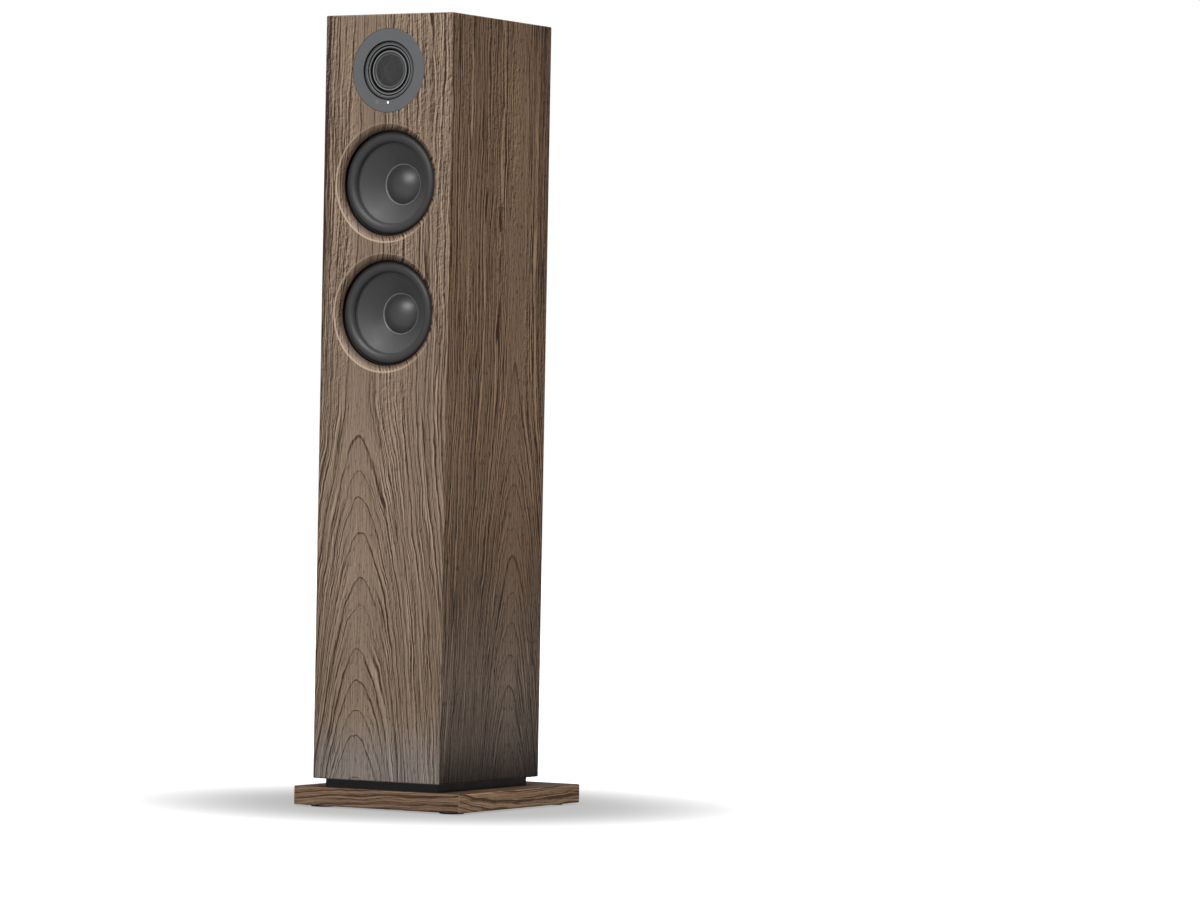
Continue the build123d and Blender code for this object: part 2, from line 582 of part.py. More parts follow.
def power_inlet():
    """Two-pin figure-eight mains inlet: moulded body with two pins."""
    body = block((-14, 14), (PLATE_FACE, PLATE_FACE + 2), (-9, 9))
    body += block((-11.5, 11.5), (194, PLATE_FACE + 2), (-7, 7))
    body = fillet(body.edges().filter_by(Axis.Y), 1.5)
    hollow = block((-4.1, 4.1), (INLET_FLOOR, PLATE_FACE + 3), (-4.2, 4.2))
    pins = []
    for x in (-PIN_X, PIN_X):
        hollow += on_axis(x, 0) * ring(0, 4.2, INLET_FLOOR, PLATE_FACE + 3)
        tip = crown(PIN_RADIUS, PIN_END - 1, PIN_END)
        pin = turned((0, INLET_FLOOR), (PIN_RADIUS, INLET_FLOOR), (PIN_RADIUS, PIN_END - 1), tip)
        pins.append(on_axis(x, 0) * pin)
    return [body - hollow, *pins]


ROCKER_PIVOT = 209.0
ROCKER_TILT = 8.0


def switch_body():
    """Frame that the rocker swings in, with two pivot holes."""
    body = block((-7.5, 7.5), (PLATE_FACE, PLATE_FACE + 2), (-10.5, 10.5))
    body += block((-6.75, 6.75), (196, PLATE_FACE + 1), (-9.5, 9.5))
    body = fillet(body.edges().filter_by(Axis.Y), 1.0)
    body -= block((-5.1, 5.1), (203, PLATE_FACE + 3), (-8.4, 8.4))
    pivot = Pos(0, FRONT + ROCKER_PIVOT, 0) * Rot(0, 90, 0) * Cylinder(1.2 + FIT, 12.6)
    return body - pivot


def rocker():
    """Rocker with its V-shaped face and pivot stubs, tilted to its off position."""
    outline = [(-7.2, 6.4), (0, 4.9), (7.2, 6.4), (6.9, 1.0), (3.0, -2.4), (-3.0, -2.4), (-6.9, 1.0)]
    points = [(depth, height) for height, depth in outline]
    body = prism(Plane.YZ, points, -4.95, 4.95)
    body += Rot(0, 90, 0) * Cylinder(1.2, 12.2)
    return Pos(0, FRONT + ROCKER_PIVOT, 0) * Rot(ROCKER_TILT, 0, 0) * body


def digital_port():
    """Metal shell with a contact tongue."""
    shell = block((-8, 8), (196, PLATE_FACE + 0.6), (-3.3, 3.3))
    shell -= block((-7.2, 7.2), (200, PLATE_FACE + 2), (-2.45, 2.45))
    tongue = block((-5.6, 5.6), (200, 209.5), (-0.5, 0.5))
    return [shell, tongue]


def line_jack():
    """Moulded body, threaded outer contact and the ring of insulation inside it."""
    body = block((-5.5, 5.5), (194, PANEL_BACK - 0.2), (-6.0, 6.0))
    collar = turned((1.7, PLATE_FACE), (6.4, PLATE_FACE), (6.4, 214), (5.9, 214.5), (4.15, 214.5),
                    (4.15, 222.0), (3.75, 222.4), (1.7, 222.4))
    stem = ring(1.7, 3.9, PANEL_BACK - 0.2, PLATE_FACE)
    return [body, on_axis(0, 0) * (collar + stem)]


STUD_RADIUS = 2.9
BANANA_RADIUS = 2.05
STUD_END = 235.0
WASHER_NEAR = 216.0
WASHER_FAR = 217.5
CAP_END = 234.0


def binding_stud():
    """Brass stud with a banana socket in its end, its insulating collar and the nut inside."""
    stud = turned((0, 192), (STUD_RADIUS, 192), (STUD_RADIUS, STUD_END - 0.4), (STUD_RADIUS - 0.4, STUD_END),
                  (BANANA_RADIUS, STUD_END), (BANANA_RADIUS, 216), (0, 216))
    collar = ring(STUD_RADIUS, 8.0, PLATE_FACE, WASHER_NEAR)
    collar += ring(STUD_RADIUS, 4.4, PANEL_BACK - 2, PLATE_FACE)
    nut = extrude(Pos(0, 0, 200) * RegularPolygon(5.2, 6), 4) - ring(0, STUD_RADIUS, 199, 205)
    return [stud, collar, nut]


def binding_cap():
    """Fluted clamping cap with a clear bore down its middle."""
    bore = STUD_RADIUS + FIT
    body = turned((bore, WASHER_FAR), (5.6, WASHER_FAR), (6.5, WASHER_FAR + 1), (6.5, CAP_END - 1.2),
                  (5.4, CAP_END), (bore, CAP_END))
    for step in range(12):
        body -= Pos(*around(7.1, step * 30), 220 + (CAP_END - 220) / 2) * Cylinder(1.0, CAP_END - 219)
    return body


def at(place, shape):
    """Moves a shape built round x = 0, z = 0 to a place on the amplifier plate."""
    return Pos(place[0], 0, place[1]) * shape


def standoffs(corners):
    """Brass pillars between the amplifier plate and a board."""
    return [on_axis(x, z) * ring(1.5, 2.8, BOARD_FAR, PANEL_BACK) for x, z in corners]


def capacitor(x, z, radius, length):
    """Electrolytic capacitor standing on the front face of a board."""
    return on_axis(x, z) * turned((0, BOARD_NEAR - length), (radius - 0.8, BOARD_NEAR - length),
                                  (radius, BOARD_NEAR - length + 0.8), (radius, BOARD_NEAR), (0, BOARD_NEAR))


def inductor(x, z):
    """Ring-core output inductor lying on the board."""
    return on_axis(x, z) * ring(3.0, 8.0, BOARD_NEAR - 8.0, BOARD_NEAR)


keep("port_tube", on_axis(0, PORT_Z) * port_tube())

amplifier_plate = rounded_block((-PLATE_HALF_WIDTH, PLATE_HALF_WIDTH), (PANEL_BACK, PLATE_FACE),
                                (PLATE_BOTTOM, PLATE_TOP), 0.4)
amplifier_plate -= at(BUTTON_AT, on_axis(0, 0) * ring(0, 3.15, *PLATE_CUT))
amplifier_plate -= at(DIGITAL_AT, block((-8.2, 8.2), PLATE_CUT, (-3.5, 3.5)))
for place in JACKS_AT:
    amplifier_plate -= at(place, on_axis(0, 0) * ring(0, 3.95, *PLATE_CUT))
for place in POSTS_AT.values():
    amplifier_plate -= at(place, on_axis(0, 0) * ring(0, 4.45, *PLATE_CUT))
amplifier_plate -= at(INLET_AT, block((-11.6, 11.6), PLATE_CUT, (-7.1, 7.1)))
amplifier_plate -= at(SWITCH_AT, block((-6.85, 6.85), PLATE_CUT, (-9.6, 9.6)))

rear = rear_panel()
rear_screws = []
for side in (-1, 1):
    for height in REAR_SCREW_HEIGHTS:
        here = on_axis(side * REAR_SCREW_X, height)
        shank = REAR_SCREW_RADIUS + FIT
        head = REAR_SCREW_HEAD + FIT
        rear -= here * turned((0, 150), (shank, 150), (shank, PANEL_BACK + shank - head), (head, PANEL_BACK),
                              (head, PANEL_BACK + 1), (0, PANEL_BACK + 1))
        pilot = here * ring(0, shank, PANEL_BACK - REAR_SCREW_LENGTH - 1, PANEL_BACK)
        if side < 0:
            left_panel -= pilot
        else:
            right_panel -= pilot
        screw = countersunk_screw(REAR_SCREW_RADIUS, REAR_SCREW_LENGTH, REAR_SCREW_HEAD)
        rear_screws.append(here * Pos(0, 0, PANEL_BACK) * screw)
    for height in PLATE_SCREW_HEIGHTS:
        here = on_axis(side * PLATE_SCREW_X, height)
        rear -= here * ring(0, 1.5 + FIT, PANEL_FRONT + 1, PANEL_BACK + 1)
        amplifier_plate -= here * ring(0, 1.8, *PLATE_CUT)
        rear_screws.append(here * Pos(0, 0, PLATE_FACE) * pan_screw(1.5, 12.0, 3.0, 2.0))
keep("left_side_panel", left_panel)
keep("right_side_panel", right_panel)
keep("rear_panel", rear)
keep("rear_screws", *rear_screws)
keep("amplifier_plate", amplifier_plate)

HOUSING_TOP = 323.0
housing = block((-60, 60), (131, PANEL_FRONT), (79, HOUSING_TOP))
housing -= block((-57, 57), (134, PANEL_FRONT + 1), (82, 320))
housing += block((-66, 66), (196, PANEL_FRONT), (72, 330)) - block((-57, 57), (190, 205), (82, 320))
WIRE_EXITS = (-43.0, -39.0, -35.0, -31.0)     # across the top of the housing, one for each cable
WIRE_EXIT_DEPTH = 150.0
WIRE_RADIUS = 1.7
for x in WIRE_EXITS:
    housing -= Pos(x, FRONT + WIRE_EXIT_DEPTH, 321.5) * Cylinder(WIRE_RADIUS + FIT, 5)
keep("electronics_housing", housing)

amplifier_board = [
    block((-50, 50), (BOARD_NEAR, BOARD_FAR), (196, 312)),
    *standoffs([(-46, 200), (46, 200), (-46, 308), (46, 308)]),
    *[inductor(x, 222) for x in (-36, -14, 14, 36)],
    *[capacitor(x, 250, 6.3, 22) for x in (-32, -16, 32)],
    block((-6, 18), (BOARD_NEAR - 3.2, BOARD_NEAR), (262, 288)),
    block((26, 44), (BOARD_NEAR - 9, BOARD_NEAR), (272, 304)),
    *[block((x, x + 1.4), (BOARD_NEAR - 24, BOARD_NEAR - 3.2), (263, 287)) for x in (0, 4, 8, 12)],
    at(BUTTON_AT, block((-3, 3), (BOARD_FAR, 203.2), (-3, 3))),
]
keep("amplifier_board", *amplifier_board)
power_board = [
    block((-50, 50), (BOARD_NEAR, BOARD_FAR), (88, 190)),
    *standoffs([(-46, 92), (46, 92), (-46, 186), (46, 186)]),
    fillet(block((-18, 20), (BOARD_NEAR - 34, BOARD_NEAR), (122, 158)).edges().filter_by(Axis.Y), 3),
    *[capacitor(x, 174, 9.0, 36) for x in (-32, -8, 16)],
    capacitor(38, 150, 7.0, 28),
    block((-44, -28), (BOARD_NEAR - 20, BOARD_NEAR), (100, 128)),
    block((28, 44), (BOARD_NEAR - 26, BOARD_NEAR), (98, 130)),
]
keep("power_supply_board", *power_board)

keep("power_inlet", *(at(INLET_AT, piece) for piece in power_inlet()))
keep("power_switch_body", at(SWITCH_AT, switch_body()))
keep("power_rocker", at(SWITCH_AT, rocker()))
keep("pairing_button", at(BUTTON_AT, on_axis(0, 0) * turned(
    (0, 204.5), (2.0, 204.5), (2.0, 207.0), (4.2, 207.0), (4.2, 208.8), (3.0, 208.8), (3.0, 214.2),
    crown(3.0, 214.2, 214.9))))
keep("digital_port", *(at(DIGITAL_AT, piece) for piece in digital_port()))
keep("line_jacks", *(at(place, piece) for place in JACKS_AT for piece in line_jack()))
studs = []
washers = []
for colour, place in POSTS_AT.items():
    axis = on_axis(*place)
    studs += [axis * piece for piece in binding_stud()]
    washers.append(axis * ring(STUD_RADIUS + FIT, 6.0, WASHER_NEAR, WASHER_FAR))
    keep(f"binding_cap_{colour}", axis * binding_cap())
keep("binding_post_studs", *studs, *washers)

# ---------------------------------------------------------------- wiring inside the cabinet
TAG_END = 62.6              # depth of the ends of the woofer's solder lugs


def cable(points, radius=WIRE_RADIUS, bend=14.0):
    """A cable along straight runs joined by tangent arcs; points are (x, depth, z)."""
    route = [Vector(x, FRONT + depth, z) for x, depth, z in points]
    path = FilletPolyline(*route, radius=bend)
    start = Plane(origin=route[0], z_dir=route[1] - route[0])
    return sweep(start * Circle(radius), path=path)


def woofer_cable(x, height):
    """From the electronics housing up to one woofer's tag."""
    return cable([(x, WIRE_EXIT_DEPTH, HOUSING_TOP), (x, WIRE_EXIT_DEPTH, height - 60),
                  (-43.5, 120, height - 20), (-45, 96, height), (-45, TAG_END, height)])


lower_cable = woofer_cable(WIRE_EXITS[0], WOOFER_Z["lower"])
upper_cable = woofer_cable(WIRE_EXITS[1], WOOFER_Z["upper"])
tweeter_cable = cable([(WIRE_EXITS[2], WIRE_EXIT_DEPTH, HOUSING_TOP),
                       (WIRE_EXITS[2], WIRE_EXIT_DEPTH, TWEETER_Z - 60),
                       (-10, 110, TWEETER_Z - 10), (0, 70, TWEETER_Z), (0, 27.0, TWEETER_Z)])
indicator_cable = cable([(WIRE_EXITS[3], WIRE_EXIT_DEPTH, HOUSING_TOP),
                         (WIRE_EXITS[3], WIRE_EXIT_DEPTH, TWEETER_Z - 100),
                         (-8, 120, TWEETER_Z - 50), (-5, 80, TWEETER_Z - 39.5),
                         (-5, 12.4, TWEETER_Z - 39.5)],
                        radius=1.2)
keep("internal_wiring", lower_cable, upper_cable, tweeter_cable, indicator_cable)

# ---------------------------------------------------------------- spacer, base plate, feet and bolts
BOLT_XS = (-50.0, 50.0)
BOLT_DEPTHS = (45.0, 170.0)
BOLT_RADIUS = 3.0
BOLT_LENGTH = 38.0
INSERT_RADIUS = 4.5
COUNTERBORE_RADIUS = 7.0
COUNTERBORE_DEPTH = 5.0

spacer = block((-HALF + SPACER_SIDE_INSET, HALF - SPACER_SIDE_INSET),
               (SPACER_FRONT_INSET, CABINET_DEPTH - SPACER_REAR_INSET), (BASE_TOP, CABINET_BOTTOM))
base = rounded_block((-BASE_WIDTH / 2, BASE_WIDTH / 2), (BASE_SETBACK, BASE_SETBACK + BASE_DEPTH),
                     (BASE_BOTTOM, BASE_TOP), EDGE_RADIUS)
bolts = []
for x in BOLT_XS:
    for depth in BOLT_DEPTHS:
        here = Pos(x, FRONT + depth, 0)
        hole = here * ring(0, BOLT_RADIUS + 0.3, 0, CABINET_BOTTOM)
        spacer -= hole
        base -= hole + here * ring(0, COUNTERBORE_RADIUS, 0, BASE_BOTTOM + COUNTERBORE_DEPTH)
        bottom_panel -= here * ring(0, INSERT_RADIUS, CABINET_BOTTOM - 1, CABINET_BOTTOM + WALL + 1)
        seat = BASE_BOTTOM + COUNTERBORE_DEPTH
        bolt = here * turned((0, seat - 3.4), ((3.0, seat - 3.0), (5.4, seat - 0.8)), (5.4, seat),
                             (BOLT_RADIUS, seat), (BOLT_RADIUS, seat + BOLT_LENGTH), (0, seat + BOLT_LENGTH))
        bolt -= here * Pos(0, 0, seat - 3.4) * extrude(RegularPolygon(2.2, 6), 2.4)
        insert = here * ring(BOLT_RADIUS + FIT, INSERT_RADIUS, CABINET_BOTTOM, CABINET_BOTTOM + 13)
        bolts += [bolt, insert]
feet = []
for x in (-BASE_WIDTH / 2 + FOOT_INSET, BASE_WIDTH / 2 - FOOT_INSET):
    for depth in (BASE_SETBACK + FOOT_INSET, BASE_SETBACK + BASE_DEPTH - FOOT_INSET):
        here = Pos(x, FRONT + depth, 0)
        base -= here * ring(0, FOOT_RADIUS + 0.1, -1, FOOT_THICKNESS)
        feet.append(here * turned((0, 0), (FOOT_RADIUS - 0.6, 0), (FOOT_RADIUS, 0.6),
                                  (FOOT_RADIUS, FOOT_THICKNESS), (0, FOOT_THICKNESS)))
keep("spacer_block", spacer)
keep("base_plate", base)
keep("bottom_panel", bottom_panel)
keep("base_bolts", *bolts)
keep("rubber_feet", *feet)

# ---------------------------------------------------------------- write the nodes
os.makedirs("parts", exist_ok=True)
for name, shape in PARTS.items():
    export_step(shape, f"parts/{name}.step")
print(len(PARTS), "nodes written")
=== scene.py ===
import math

import bmesh
import bpy
from mathutils import Matrix, Vector


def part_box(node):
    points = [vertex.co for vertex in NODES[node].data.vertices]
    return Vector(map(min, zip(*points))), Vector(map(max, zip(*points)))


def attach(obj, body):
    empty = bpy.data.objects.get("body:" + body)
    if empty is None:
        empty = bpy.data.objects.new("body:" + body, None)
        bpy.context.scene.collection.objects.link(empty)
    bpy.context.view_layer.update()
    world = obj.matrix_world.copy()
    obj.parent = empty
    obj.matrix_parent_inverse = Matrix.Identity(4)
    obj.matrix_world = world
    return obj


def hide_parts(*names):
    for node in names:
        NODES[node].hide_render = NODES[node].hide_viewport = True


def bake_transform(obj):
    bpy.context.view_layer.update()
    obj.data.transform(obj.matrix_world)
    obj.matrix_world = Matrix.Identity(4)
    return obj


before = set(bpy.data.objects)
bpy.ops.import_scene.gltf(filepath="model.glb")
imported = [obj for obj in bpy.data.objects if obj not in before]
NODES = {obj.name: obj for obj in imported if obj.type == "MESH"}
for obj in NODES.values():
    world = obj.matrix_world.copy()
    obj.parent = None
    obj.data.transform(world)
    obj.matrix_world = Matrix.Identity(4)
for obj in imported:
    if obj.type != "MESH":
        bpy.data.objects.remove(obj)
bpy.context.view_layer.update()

MM = 0.001

# ---------------------------------------------------------------- places, from the frame


def middle(node):
    """The centre of a CAD node's box."""
    low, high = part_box(node)
    return (low + high) / 2


FRONT_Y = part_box("front_baffle")[0].y
CABINET_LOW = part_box("left_side_panel")[0]
CABINET_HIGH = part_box("right_side_panel")[1]
TWEETER = middle("tweeter_faceplate")
WOOFERS = {which: middle(f"woofer_surround_{which}") for which in ("upper", "lower")}

# ---------------------------------------------------------------- camera
# The viewpoint stands about 32 degrees round towards the speaker's +X side, a little under half its height,
# with a long lens. The speaker sits in the left half of the picture.
CAMERA_PLACE = Vector((3.1437, -5.0705, 0.3996))
CAMERA_TURN = 0.52551       # radians to the left of straight back
CAMERA_PITCH = 0.000735     # radians up
CAMERA_ROLL = 0.01821       # radians
CAMERA_LENS = 158.53        # mm
CAMERA_SENSOR = 36          # mm
CAMERA_FAR = 60


def make_camera():
    data = bpy.data.cameras.new("camera")
    data.lens = CAMERA_LENS
    data.sensor_width = CAMERA_SENSOR
    data.clip_end = CAMERA_FAR
    camera = bpy.data.objects.new("camera", data)
    bpy.context.scene.collection.objects.link(camera)
    turn = Matrix.Rotation(CAMERA_TURN, 4, "Z")
    lift = Matrix.Rotation(math.pi / 2 + CAMERA_PITCH, 4, "X")
    roll = Matrix.Rotation(CAMERA_ROLL, 4, "Z")
    camera.matrix_world = Matrix.Translation(CAMERA_PLACE) @ turn @ lift @ roll
    bpy.context.scene.camera = camera


make_camera()

# ---------------------------------------------------------------- shader graphs


class Graph:
    """A material's node tree, with short calls for the nodes that it is built from."""

    def __init__(self, name, colour=(0.5, 0.5, 0.5), roughness=0.5, metallic=0.0, specular=0.5):
        self.material = bpy.data.materials.new(name)
        self.material.use_nodes = True
        self.nodes = self.material.node_tree.nodes
        self.links = self.material.node_tree.links
        self.shader = self.nodes["Principled BSDF"]
        self.shader.inputs["Base Color"].default_value = (*colour, 1)
        self.shader.inputs["Roughness"].default_value = roughness
        self.shader.inputs["Metallic"].default_value = metallic
        self.shader.inputs["Specular IOR Level"].default_value = specular

    def put(self, value, socket):
        """Links a socket, or sets a plain value."""
        if isinstance(value, bpy.types.NodeSocket):
            self.links.new(value, socket)
        elif isinstance(value, tuple) and len(value) == 3 and socket.type == "RGBA":
            socket.default_value = (*value, 1)
        else:
            socket.default_value = value

    def node(self, kind, inputs=None, **settings):
        made = self.nodes.new("ShaderNode" + kind)
        for key, value in settings.items():
            setattr(made, key, value)
        for key, value in (inputs or {}).items():
            self.put(value, made.inputs[key])
        return made

    def math(self, operation, a, b=0.0, c=0.0, clamp=False):
        made = self.node("Math", {0: a, 1: b, 2: c}, operation=operation, use_clamp=clamp)
        return made.outputs[0]

    def step(self, value, low, high, to_low=0.0, to_high=1.0):
        """A smooth step between two values."""
        made = self.node("MapRange", {0: value, 1: low, 2: high, 3: to_low, 4: to_high},
                         interpolation_type="SMOOTHSTEP")
        return made.outputs[0]

    def ramp(self, value, stops):
        """Grey levels between (value, level) stops, given in rising order."""
        low = stops[0][0]
        high = stops[-1][0]
        share = self.node("MapRange", {0: value, 1: low, 2: high}).outputs[0]
        made = self.node("ValToRGB", {0: share})
        ends = made.color_ramp.elements
        ends[0].color = (stops[0][1], stops[0][1], stops[0][1], 1)
        ends[1].color = (stops[-1][1], stops[-1][1], stops[-1][1], 1)
        for place, level in stops[1:-1]:
            ends.new((place - low) / (high - low)).color = (level, level, level, 1)
        return made.outputs[0]

    def gap(self, a, b):
        """How far apart two values are."""
        return self.math("ABSOLUTE", self.math("SUBTRACT", a, b))

    def mix(self, factor, a, b, blend="MIX"):
        made = self.node("Mix", {0: factor, 6: a, 7: b}, data_type="RGBA", blend_type=blend)
        return made.outputs[2]

    def tint(self, colour, by):
        return self.mix(1.0, colour, by, blend="MULTIPLY")

    def place(self):
        """The frame's own coordinates, in metres."""
        return self.node("TexCoord").outputs["Object"]

    def axes(self):
        """The frame's own x, y and z, in metres."""
        return tuple(self.node("SeparateXYZ", {0: self.place()}).outputs)

    def vector(self, x, y, z=0.0):
        return self.node("CombineXYZ", {0: x, 1: y, 2: z}).outputs[0]

    def radius(self, x, z, centre):
        """The distance from an axis that runs front to back through centre."""
        axis = (centre.x, 0.0, centre.z)
        made = self.node("VectorMath", {0: self.vector(x, 0.0, z), 1: axis}, operation="DISTANCE")
        return made.outputs["Value"]

    def noise(self, vector, scale=1.0, detail=2.0, roughness=0.5, distortion=0.0):
        made = self.node("TexNoise", {"Vector": vector, "Scale": scale, "Detail": detail,
                                      "Roughness": roughness, "Distortion": distortion})
        return made.outputs[0]

    def mottled(self, colour, spread, fine, broad):
        """A colour that varies by a share of itself, by a broad noise more than a fine one."""
        low = tuple(channel * (1 - spread) for channel in colour)
        high = tuple(channel * (1 + spread) for channel in colour)
        return self.mix(self.math("MULTIPLY_ADD", broad, 0.7, self.math("MULTIPLY", fine, 0.3)), low, high)

    def bump(self, height, distance, strength=1.0):
        made = self.node("Bump", {"Height": height, "Distance": distance, "Strength": strength})
        self.put(made.outputs[0], self.shader.inputs["Normal"])

    def colour(self, value):
        self.put(value, self.shader.inputs["Base Color"])

    def rough(self, value):
        self.put(value, self.shader.inputs["Roughness"])


def srgb(red, green, blue):
    """A colour from 0 to 255 values as a linear one."""
    def channel(value):
        value = value / 255
        return value / 12.92 if value <= 0.04045 else ((value + 0.055) / 1.055) ** 2.4
    return channel(red), channel(green), channel(blue)


# ---------------------------------------------------------------- veneer
WOOD_PALE = srgb(188, 168, 148)
WOOD_DEEP = srgb(62, 46, 35)
FLOOR_REFLECTION_PALE = srgb(176, 168, 163)
FLOOR_REFLECTION_DEEP = srgb(66, 58, 54)
# A board's veneer by which way a face looks: painted light on its front and ends, painted shade on its top.
BOARD_FRONT_PAINTED_LIGHT = (1.12, 1.08, 1.06)
BOARD_END_PAINTED_LIGHT = (1.62, 1.56, 1.40)
BOARD_TOP_PAINTED_SHADE = (0.5, 0.47, 0.42)
BOARD_END = 0.1                 # where a board's ends lie across its grain
BOARD_END_NORMAL = (0.4, 0.6)   # how far a face turns sideways before it is an end
BOARD_TOP_NORMAL = (0.4, 0.9)   # and upwards before it is the top

# A recess round a driver: brown on its wall, black in its undercut, and a painted highlight along its lower
# left lip, where the rim catches the light.
RECESS_RADIUS = 67.5 * MM
RECESS_BROWN = srgb(120, 86, 58)
RECESS_BROWN_DEPTH = (0.5 * MM, 6 * MM)     # starts and is full
RECESS_BROWN_SHARE = 0.85
RECESS_BLACK = srgb(22, 21, 20)
RECESS_BLACK_DEPTH = 6.4 * MM
LIP_HIGHLIGHT_COLOUR = srgb(208, 184, 160)
LIP_INSET = 1.6 * MM
LIP_WIDTH = (1.4 * MM, 0.4 * MM)            # starts and is full
LIP_LIT_WAY = (-0.8, -0.6)                      # the side of the painted highlight, across and up
LIP_REACH = (-0.03, 0.06)                   # along that way, from the centre
LIP_HIGHLIGHT_SHARES = (0.12, 0.75)                     # at either end of that reach

# Noises that the grain is made of: waves per metre across and along it, a seed, and the noise's detail.
BROAD_WANDER = (9.0, 3.5, 0.0, 1.0)
CLOSE_WANDER = (60.0, 24.0, 3.0, 2.0)
WIGGLE = (80.0, 34.0, 29.0, 2.0)
TIP_WANDER = (90.0, 30.0, 31.0, 2.0)
BAND = (24.0, 1.6, 13.0, 2.0)
STREAK = (240.0, 2.4, 5.0, 4.0)
FIBRE = (700.0, 10.0, 1.0, 3.0)
DASH = (520.0, 50.0, 9.0, 3.0)
FADE = (40.0, 9.0, 37.0, 2.0)
PORE = (520.0, 120.0, 17.0, 2.0)
CURL = (260.0, 170.0, 23.0, 2.0)
CURL_SHADING_SHIFT = (0.3, -0.2)       # from one side of a curl to the other, in waves, for its painted light and shade
CURL_BANDS = (0.44, 0.6, 0.1, 1.0)          # faint in dark bands, full in pale ones
CURL_HEIGHTS = (0.36, 0.56, 0.25, 1.0)      # faint low on a panel, full further up
DASH_SHADING_SHIFT = 0.9 * MM          # from one side of a dash to the other, for its painted light and shade
PORE_LEVELS = (0.57, 0.66)
GRAIN_ROUGHNESS = 0.55          # of these noises, not of the surface

# How far the grain wanders.
BROAD_REACH = 24 * MM
CLOSE_REACH = 6 * MM
WIGGLE_REACH = 1.6 * MM
TIP_REACH = 10 * MM

# The rings. Lengths are in metres, across the grain.
ARCH_HALF_WIDTH = 0.034
ARCH_ROUNDING = 1.2             # how gently the arches begin under arch_top
ARCH_REACH = (0.03, 0.13)       # the arches flatten between these distances from their middle
ARCH_FLATTENING = (1.0, 0.4)
UNEVEN_RINGS = 1.8              # how far ring widths vary
UNEVEN_WAVES = (0.6, 0.9)       # per ring, and per metre along the grain
LATE_WOOD_START = 0.35          # of a ring
PRESENCE_WAVES = (1.1, 24.0)    # per ring, and per metre along the grain
LINE_WIDTH = (2.2 * MM, 0.8 * MM)           # starts and is full
LINE_START = 0.2 * MM
LINE_PRESENCE = (0.36, 0.58, 0.55, 1.0)
RIDGE_WIDTH = (2.6 * MM, 0.8 * MM)
RIDGE_START = 0.4 * MM
RIDGE_PRESENCE = (0.40, 0.6)

# Strands: long thin lines that run between the rings, dark, each with a painted highlight beside it.
STRAND_WAVES = (290.0, 4.0)
STRAND_WIDTH = 0.07             # in noise levels round the middle one
STRAND_HIGHLIGHT_SHIFT = 1.0 * MM
STRAND_FADE = (0.36, 0.56, 0.3, 1.0)
STRAND_SEED = 43.0
STRAND_SIDES = 9.7              # keeps the two legs of an arch from mirroring each other
CALM_MIDDLE = (0.006, 0.035)    # no strands in the quiet middle of the arches

# What each mark adds to the tone, which is 0 at the deepest wood and 1 at the palest.
BAND_TONE = 0.30
STREAK_TONE = 0.4
FIBRE_TONE = -0.4
DASH_LIGHT_AND_SHADE_TONE = 0.38
DARK_STRAND_TONE = -0.30
STRAND_HIGHLIGHT_TONE = 0.20
PORE_TONE = -0.08
RIDGE_HIGHLIGHT_TONE = 0.06
LATE_WOOD_TONE = -0.05
LINE_TONE = -0.38
DARK_EDGE_TONE = -0.26
EDGE_WAVE = 16 * MM             # how far the dark edge wanders
EDGE_WAVES = 12.0               # per metre
EDGE_FADE = 0.1                 # below and above the height from which it is dark
EDGE_LOW_SHARE = 0.35           # of it under that height

# What each mark adds to the height, as a share of the relief.
RELIEF = 0.25 * MM
RELIEF_STRENGTH = 0.65
PORE_HEIGHT = -0.5
FIBRE_HEIGHT = -0.7
DASH_HEIGHT = 0.4
LINE_HEIGHT = -0.7

# The surface's roughness: smooth wood, and what a fibre and a pore add.
SMOOTH_ROUGHNESS = 0.42
FIBRE_ROUGHNESS = 0.2
PORE_ROUGHNESS = 0.2


